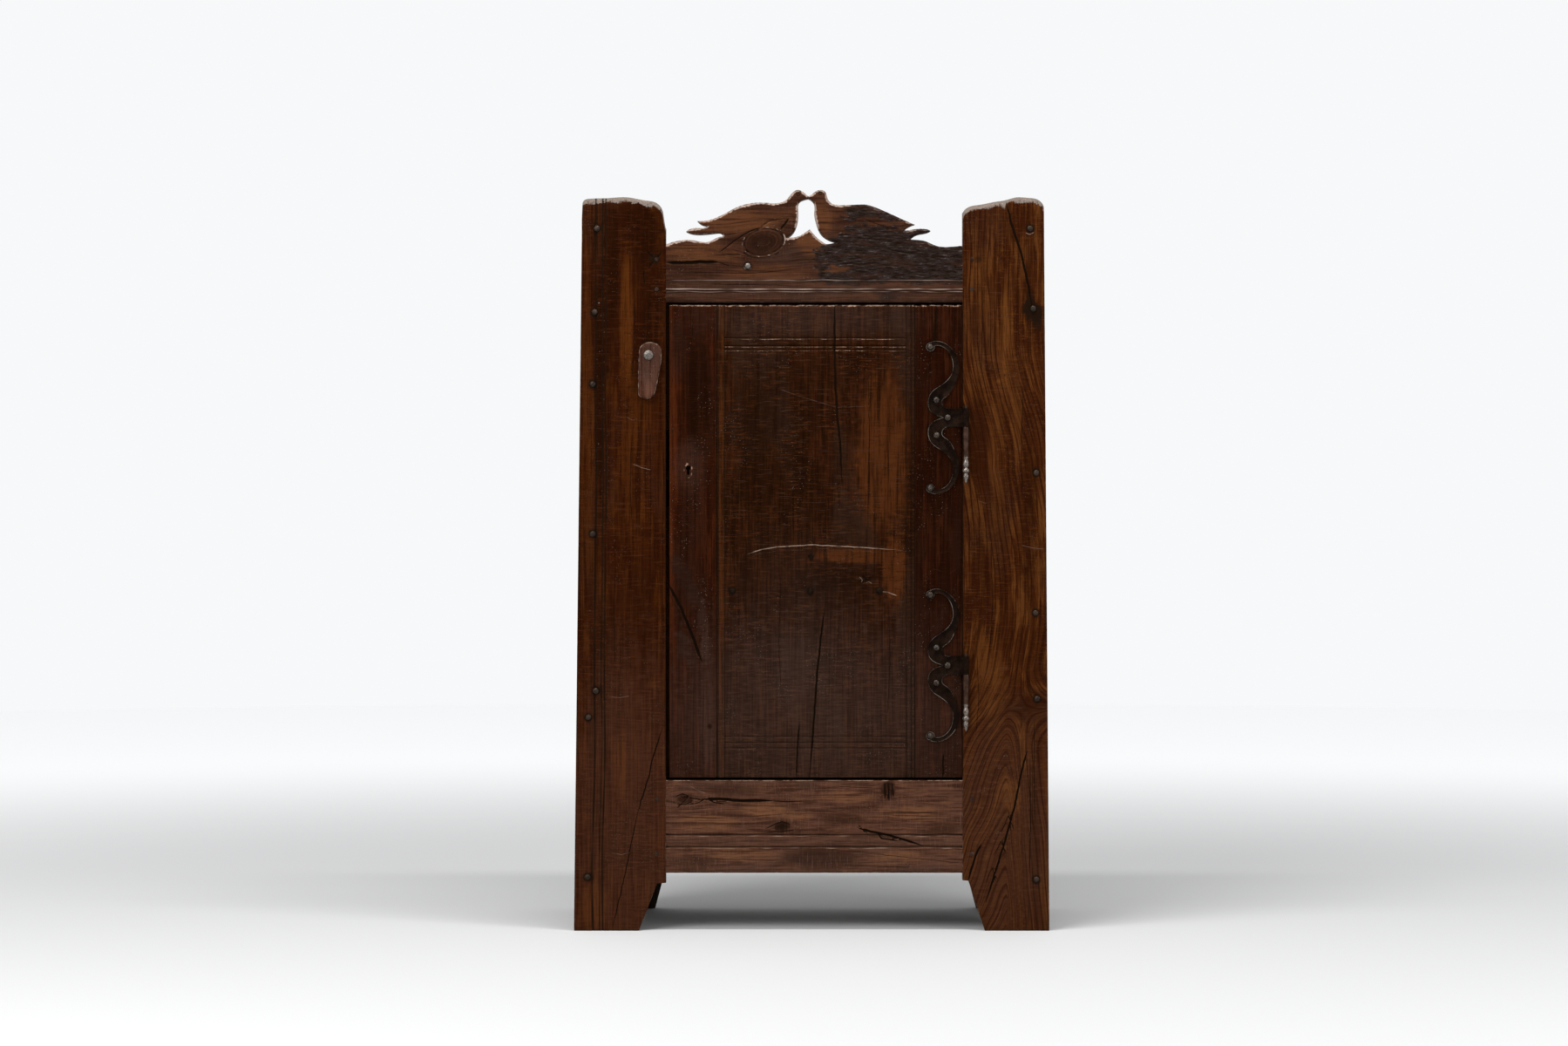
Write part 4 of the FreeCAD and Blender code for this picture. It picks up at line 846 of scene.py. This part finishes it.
# Side boards: two thick planks on each side, set into the stiles' backs and cut below as feet. They lean
# with the stiles, and the sun and the broom have left them plainer and drier than the front.

LEFT = (Vector((0, -1, 0)), Vector((0, 0, 1)), Vector((1, 0, 0)))
RIGHT = (Vector((0, 1, 0)), Vector((0, 0, 1)), Vector((-1, 0, 0)))


def plain_look(seed, lines=(), stains=(), knots=(), sideways=False):
    """A board with no marks of its own beyond splits, stains and knots."""
    cracks = marks(*lines)
    return lambda x, z, rim: aged(x, z, rim, seed, cracks, (), stains, knots, sideways=sideways, arris=1.6)


side_wood = old_wood("waxed_wood_sides", (0.011, 0.0028, 0.0011), (0.030, 0.0085, 0.0032),
                     (0.062, 0.0220, 0.0080), (0.030, 0.0150, 0.0100), seed=73.0, cross=0.4, rings=0.35)
side_splits = {
    "left_side_front_board": ((1.0, (60, 95), (66, 210), (62, 330)),
                              (0.7, (130, 1240), (126, 1100), (129, 960))),
    "left_side_back_board": ((0.8, (-110, 1290), (-104, 1160), (-108, 1050)), (0.6, (-60, 700), (-64, 560))),
    "right_side_front_board": ((1.0, (-120, 1290), (-112, 1150), (-116, 1000)), (0.7, (-60, 100), (-66, 260))),
    "right_side_back_board": ((0.9, (90, 120), (96, 280), (92, 400)), (0.6, (140, 900), (136, 760))),
}
for number, (board, lines) in enumerate(side_splits.items()):
    middle = 90 if ("front" in board) == ("left" in board) else -90
    plank(board, plain_look(19.0 + number, lines,
                            [(middle, 150, 140, 130, -0.25), (middle, 900, 60, 260, 0.15)],
                            [(middle, 640 + 90 * number, 16, 40, 0.4)]),
          side_wood, view=LEFT if "left" in board else RIGHT, step=5, hollow=22, probe=20,
          shoulder=1150, hem=200)

# Back: two stiles that go down to the floor, and three boards between them, nailed to the sides, the top
# and the floor. Nobody waxed them, so they are dull, dusty and streaked.

BACK = (Vector((-1, 0, 0)), Vector((0, 0, 1)), Vector((0, -1, 0)))
back_wood = old_wood("dull_wood_back", (0.022, 0.0120, 0.0075), (0.058, 0.0340, 0.0215),
                     (0.105, 0.0680, 0.0440), (0.055, 0.0420, 0.0330), seed=83.0, gloss=0.66, cross=0.3,
                     rings=0.45)
back_boards = ("left_back_stile", "right_back_stile", "back_board_1", "back_board_2", "back_board_3")
for number, board in enumerate(back_boards):
    low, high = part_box(board)
    middle = -500 * (low.x + high.x)
    splits = ((0.8, (middle - 30, 1309), (middle - 26, 1200), (middle - 34, 1080)),
              (0.6, (middle + 34, 120), (middle + 30, 260)))
    plank(board, plain_look(27.0 + number, splits,
                            [(middle, 150, 160, 90, -0.35), (middle - 20, 800, 70, 300, 0.2)],
                            [(middle + 20, 420 + 170 * number, 14, 36, 0.5)]),
          back_wood, view=BACK, step=6, hollow=9)

# Top, floor and shelves: boards from side to side, seen from above or through the open door. The top is
# dusty; the shelves and the floor are bare wood, rubbed by what was stored on them.

ABOVE = (Vector((1, 0, 0)), Vector((0, 1, 0)), Vector((0, 0, -1)))
inner_wood = old_wood("bare_wood_inside", (0.026, 0.0130, 0.0075), (0.070, 0.0390, 0.0220),
                      (0.125, 0.0780, 0.0460), (0.060, 0.0430, 0.0320), seed=97.0, gloss=0.62, cross=0.6,
                      rings=0.35)
top_wood = old_wood("dusty_wood_top", (0.013, 0.0050, 0.0028), (0.036, 0.0150, 0.0085),
                    (0.072, 0.0330, 0.0180), (0.048, 0.0330, 0.0250), seed=101.0, gloss=0.55, cross=0.4)
flat_boards = (("top_front_board", top_wood, "case_wood"), ("top_back_board", top_wood, "case_wood"),
               ("floor_front_board", inner_wood, "inner_wood"), ("floor_back_board", inner_wood, "inner_wood"),
               ("lower_shelf", inner_wood, "inner_wood"), ("upper_shelf", inner_wood, "inner_wood"))
for number, (board, wood, slot) in enumerate(flat_boards):
    splits = ((0.7, (-420, 20 + 9 * number), (-330, 24), (-240, 18)), (0.5, (250, -30), (400, -34)))
    plank(board, plain_look(35.0 + number, splits, (), [(90 - 60 * number, 40, 40, 14, 0.4)], sideways=True),
          wood, view=ABOVE, step=7, sideways=True)

# Small timbers: cleats under the top, floor and shelves, stops for the door, the door's three battens, and
# the pegs through the tenons. All are rough-sawn and only broken at their edges.


def break_edges(shape, offset):
    corners = [edge for edge in shape.edges
               if len(edge.link_faces) == 2 and edge.calc_face_angle() > radians(50)]
    bmesh.ops.bevel(shape, geom=corners, offset=offset, segments=2, profile=0.5, affect="EDGES",
                    clamp_overlap=True, material=-1)


def softened(name, node, body, material, lengthwise, round_off=0.0012, worn_and_lit=0.12, dirt_shade=0.25):
    """A copy of a CAD piece with its edges rounded, and its grain along one way (0 is X, 1 is Y, 2 is Z)."""
    shape = welded(node, 1)
    break_edges(shape, round_off)

    def plain(place):
        others = sum(part for axis, part in enumerate(place) if axis != lengthwise)
        return plain_wood(1000 * others, 1000 * place[lengthwise], worn_and_lit, dirt_shade)

    set_in_place(name, shape, node, body, material, sharp=30, plain=plain)


for timber in ("top_cleats", "floor_cleats", "lower_shelf_cleats", "upper_shelf_cleats"):
    softened(f"{timber}_timber", timber, "carcass", inner_wood, 1)
softened("door_stops_timber", "door_stops", "carcass", side_wood, 2)
for timber in ("door_top_batten", "door_middle_batten", "door_bottom_batten"):
    softened(f"{timber}_timber", timber, "door", inner_wood, 0, round_off=0.002)
softened("frame_pegs_ends", "frame_pegs", "carcass",
         old_wood("peg_end_wood", (0.012, 0.0060, 0.0040), (0.028, 0.0155, 0.0115), (0.052, 0.0360, 0.0310),
                  (0.026, 0.0170, 0.0140), seed=107.0), 1, round_off=0.0006, worn_and_lit=0.35, dirt_shade=0.2)

# Nails: wrought iron, with heads hammered to a low dome of a few facets, grey and polished by hands on the
# front and dull elsewhere.

DOME_HEIGHT, DOME_FLAT = 0.0034, 0.0033


def forged_iron(name, dark, brown, steel, seed, gloss=0.42, metal=0.8):
    """Old forged iron: dark, browned in patches, pitted, and bright where it is rubbed; on the straps' chased
    rims that bright is also a painted glint.
    """
    iron, tree, shader = new_finish(name)
    place = add_node(tree, "TexCoord", {}, "Object")
    worn_and_lit = add_node(tree, "Attribute", {}, "Fac", attribute_name="rubbed")
    patch = place.grain((70, 70, 70), seed, 4.0, 0.6)
    pits = place.grain((420, 420, 420), seed + 4, 3.0, 0.6)
    hammer = place.grain((150, 150, 150), seed + 9, 1.0)
    rubbing_and_highlight = (worn_and_lit + pits * 0.7 - 0.35).rise(0.35, 0.8)
    colour = coat(dark, patch.rise(0.42, 0.6), brown)
    colour = coat(colour, pits.rise(0.55, 0.68, 0.0, 0.7), dark, 0.4)
    colour = coat(colour, rubbing_and_highlight, steel)
    rough = pits.rise(0.3, 0.7, gloss - 0.05, gloss + 0.15) - rubbing_and_highlight * 0.16
    lay_on(shader, colour, rough, hammer * 1.6 + pits * 0.6, 0.6, 0.0005, 0.25 * metal,
           (1.0, 0.6, 0.4, 1), metal)
    return iron


nail_iron = forged_iron("nail_iron_rubbed", (0.020, 0.015, 0.012), (0.036, 0.023, 0.017),
                        (0.20, 0.18, 0.16), 3.0, 0.38)
nail_iron_dull = forged_iron("nail_iron_dull", (0.0055, 0.0036, 0.0026), (0.0125, 0.0072, 0.0048),
                             (0.12, 0.10, 0.09), 7.0, 0.7, metal=0.15)


def nail_heads(node, way, body, material, rubbed):
    """A low hammered dome for each head of a CAD group of nails, facing way."""
    way = Vector(way)
    source = welded(node)
    left_over = set(source.verts)
    heads = bmesh.new()
    while left_over:
        nail, found = [left_over.pop()], []
        while nail:
            point = nail.pop()
            found.append(point.co.copy())
            for edge in point.link_edges:
                other = edge.other_vert(point)
                if other in left_over:
                    left_over.remove(other)
                    nail.append(other)
        top = max(way.dot(place) for place in found)
        rim = [place for place in found if way.dot(place) > top - 0.0045]
        middle = sum(rim, Vector()) / len(rim)
        radius = max(((place - middle) - way * way.dot(place - middle)).length for place in rim)
        middle += way * (top - DOME_HEIGHT - way.dot(middle))
        turn = Vector((0, 0, 1)).rotation_difference(way).to_matrix().to_4x4()
        squat = Matrix.Diagonal((1, 1, DOME_HEIGHT / radius, 1))
        spin = Matrix.Rotation(97 * (middle.x + middle.z), 4, "Z")
        dome = bmesh.ops.create_uvsphere(heads, u_segments=9, v_segments=8, radius=radius,
                                         matrix=Matrix.Translation(middle) @ turn @ squat @ spin)
        for point in dome["verts"]:
            off = (point.co - middle) * (1 + 0.13 * noise.noise(point.co * 190))
            out = way.dot(off)
            point.co = middle + off + way * (min(out, DOME_FLAT) - out)
    source.free()
    set_in_place(f"{node}_heads", heads, node, body, material, sharp=0, rubbed=rubbed)


for nails, body, shine in (("stile_nails", "carcass", 0.36), ("crest_nail", "carcass", 0.62),
                           ("button_nail", "carcass", 0.62), ("hinge_nails", "door", 0.43)):
    nail_heads(nails, (0, -1, 0), body, nail_iron, shine)
for nails, way, body in (("left_side_nails", (-1, 0, 0), "carcass"),
                         ("right_side_nails", (1, 0, 0), "carcass"),
                         ("back_nails", (0, 1, 0), "carcass"), ("batten_nails", (0, 1, 0), "door"),
                         ("door_face_nails", (0, -1, 0), "door")):
    nail_heads(nails, way, body, nail_iron_dull, 0.0)
for nails in ("inner_nails", "lock_nails", "keeper_nails"):
    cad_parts[nails].material_slots[0].material = nail_iron_dull

# Hinges: two scrolled iron straps cut from sheet, each with a chased line that leaves a raised bright edge,
# its bright partly a painted glint, curled round a pintle driven into the stile. The pintle hangs below as a
# turned finial with bright beads.

FINIAL = 0.111
KNUCKLE_X = 0.281
strap_iron = forged_iron("strap_iron", (0.0040, 0.0022, 0.0015), (0.0105, 0.0050, 0.0031),
                         (0.15, 0.125, 0.105), 13.0, 0.5, metal=0.2)
pintle_iron = forged_iron("pintle_iron", (0.034, 0.018, 0.013), (0.060, 0.032, 0.022),
                          (0.30, 0.27, 0.24), 17.0, 0.36)


def ironwork(name, node, body, material, rubbed, edge_line=0.0, round_off=0.0):
    """A copy of a CAD iron piece with broken edges, rubbed where rubbed says, or with a chased border."""
    shape = welded(node, 0.5)
    tag = shape.verts.layers.float.new("rubbed")
    plate = None
    if edge_line:
        facing = [face for face in shape.faces if face.normal.y < -0.99]
        plate = max(facing, key=lambda face: face.calc_area()).verts[0].co.y
        sheet = [face for face in facing if abs(face.verts[0].co.y - plate) < 1e-5]
        for thick, depth in ((edge_line, 0.0), (0.0005, -0.0007)):
            bmesh.ops.inset_region(shape, faces=sheet, thickness=thick, depth=depth, use_boundary=True)
    if round_off:
        break_edges(shape, round_off)
    for point in shape.verts:
        # The straps' chased rim is painted bright: rubbed iron and a painted glint along the raised edge.
        rim = plate is not None and abs(point.co.y - plate) < 1e-5 and point.co.x < KNUCKLE_X
        point[tag] = 0.5 + 0.45 * noise.noise(point.co * 45) if rim else rubbed(point.co)
    set_in_place(name, shape, node, body, material, sharp=35)


for hinge in ("upper", "lower"):
    ironwork(f"{hinge}_hinge_strap_chased", f"{hinge}_hinge_strap", "door", strap_iron,
             lambda place: 0.0, edge_line=0.0009)
    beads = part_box(f"{hinge}_pintle")[0].z + 0.5 * FINIAL
    ironwork(f"{hinge}_pintle_turned", f"{hinge}_pintle", "carcass", pintle_iron,
             lambda place: 0.55 if place.z < beads else 0.1)

# Lock on the inside of the door, its bolt, and the keeper behind the stile: plain iron plates, bent and
# nailed, black but for the bolt, which its own sliding keeps bright.

lock_iron = forged_iron("lock_iron_plate", (0.020, 0.016, 0.014), (0.038, 0.026, 0.019),
                        (0.22, 0.20, 0.18), 21.0, 0.48)
for part, body, bare in (("lock_plate", "door", 0.1), ("lock_case", "door", 0.1),
                         ("lock_keeper", "carcass", 0.2),
                         ("lock_bolt", "lock_bolt", 0.8)):
    ironwork(f"{part}_iron", part, body, lock_iron, lambda place: bare, round_off=0.0004)

# Turn button: a tapered wooden tongue, whittled, on a loose nail. It keeps the door shut when its nose is
# turned across it, and hangs nose down when the door is free. Newer and pinker wood than the rest.

blank_mesh = bpy.data.meshes.new("button_blank")
button_shape = welded("turn_button")
button_shape.to_mesh(blank_mesh)
button_shape.free()
blank = bpy.data.objects.new("button_blank", blank_mesh)
bpy.context.collection.objects.link(blank)
even = blank.modifiers.new("even", "REMESH")
even.mode = "VOXEL"
even.voxel_size = 0.0008
bpy.context.view_layer.update()
whittled = bpy.data.meshes.new_from_object(blank.evaluated_get(bpy.context.evaluated_depsgraph_get()))
bpy.data.objects.remove(blank)
button_shape = bmesh.new()
button_shape.from_mesh(whittled)
button_skin = BVHTree.FromBMesh(button_shape)
low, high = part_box("turn_button")
round_about = [Vector((x, 0, z)) for x, z in ((0, 1), (0, -1), (1, 0), (-1, 0), (0.7, 0.7), (0.7, -0.7),
                                              (-0.7, 0.7), (-0.7, -0.7))]
button_looks = {}
for index, point in enumerate(button_shape.verts):
    x, z = 1000 * point.co.x, 1000 * point.co.z
    heart = Vector((point.co.x, (low.y + high.y) / 2, point.co.z))
    spots = [button_skin.ray_cast(heart, way, 0.012)[3] for way in round_about]
    gap = min([12] + [1000 * spot for spot in spots if spot is not None])
    front = point.co.y < low.y + 0.004
    if front and gap < 3.4:
        point.co.y += 0.0024 * (1 - gap / 3.4) ** 1.5
    facets = waver(x / 14, point.co.y * 60, z / 22)
    point.co.y += 0.0004 * max(0, facets) * front
    worn_and_lit = (0.6 if front else 0.4) * max(0, 1 - gap / 3.6) * (0.9 + waver(x / 9, z / 9, 3)) + 0.2 * facets
    button_looks[index] = plain_wood(x, z, min(max(worn_and_lit, 0), 1), 0.35 * (point.co.y > high.y - 0.003))
bmesh.ops.smooth_vert(button_shape, verts=button_shape.verts, factor=0.5, use_axis_x=True, use_axis_y=True,
                      use_axis_z=True)
set_in_place("turn_button_whittled", button_shape, "turn_button", "turn_button",
             old_wood("pink_wood_button", (0.036, 0.0120, 0.0070), (0.068, 0.0260, 0.0155),
                      (0.115, 0.0500, 0.0320), (0.056, 0.0290, 0.0220), seed=113.0, cross=0.2,
                      rubbed=(0.36, 0.26, 0.21)),
             sharp=None, looks=button_looks, plain=lambda place: plain_wood(0, 0))

# Floor, light and camera: a plain pale studio round the cupboard. The floor glows more the farther out it
# is, until it fades into the background, and three soft lamps light the front and the crest.

PALE = (0.93, 0.94, 0.95, 1)
disc = bmesh.new()
bmesh.ops.create_circle(disc, cap_ends=True, segments=96, radius=9)
floor_mesh = bpy.data.meshes.new("floor")
disc.to_mesh(floor_mesh)
disc.free()
floor = bpy.data.objects.new("floor", floor_mesh)
bpy.context.collection.objects.link(floor)
pale, tree, paint = new_finish("pale_floor")
for socket, value in (("Base Color", (0.78, 0.78, 0.78, 1)), ("Roughness", 0.8), ("Specular IOR Level", 0.1),
                      ("Emission Color", PALE)):
    paint.inputs[socket].default_value = value
place = add_node(tree, "TexCoord", {}, "Object")
glow = add_node(tree, "VectorMath", {0: place}, "Value", operation="LENGTH").rise(0.9, 5.5, 0.0, 0.6)
tree.links.new(glow.socket, paint.inputs["Emission Strength"])
floor_mesh.materials.append(pale)

world = bpy.data.worlds.new("studio")
bpy.context.scene.world = world
world.use_nodes = True
sky = world.node_tree
seen, glossy, through = add_node(sky, "LightPath", {}, "Is Camera Ray", "Is Glossy Ray", "Is Transmission Ray")
seen = seen.reckon("MAXIMUM", glossy).reckon("MAXIMUM", through).rise(0.0, 1.0, 0.42, 1.0)
sky.nodes["Background"].inputs[0].default_value = PALE
sky.links.new(seen.socket, sky.nodes["Background"].inputs[1])


def lamp(name, place, aim, size, tall, power):
    light = bpy.data.lights.new(name, "AREA")
    light.shape = "RECTANGLE"
    light.size, light.size_y = size, tall
    light.energy = power
    holder = bpy.data.objects.new(name, light)
    holder.location = place
    holder.rotation_euler = (Vector(aim) - Vector(place)).to_track_quat("-Z", "Y").to_euler()
    bpy.context.collection.objects.link(holder)


lamp("big_soft_lamp", (-2.2, -3.6, 3.6), (0, 0, 0.7), 2.6, 2.6, 105)
lamp("side_soft_lamp", (3.4, -3.0, 2.2), (0, 0, 0.7), 2.0, 2.0, 35)
lamp("top_soft_lamp", (0.0, -1.0, 3.4), (0, -0.2, 0.9), 2.4, 0.3, 60)

camera = bpy.data.cameras.new("camera")
camera.lens = 86.5
camera.sensor_width = 36
eye = bpy.data.objects.new("camera", camera)
eye.location = (-0.0539, -7.566, 0.7956)
eye.rotation_euler = (radians(90), 0, 0)
bpy.context.collection.objects.link(eye)
bpy.context.scene.camera = eye
bpy.context.scene.view_settings.view_transform = "Standard"
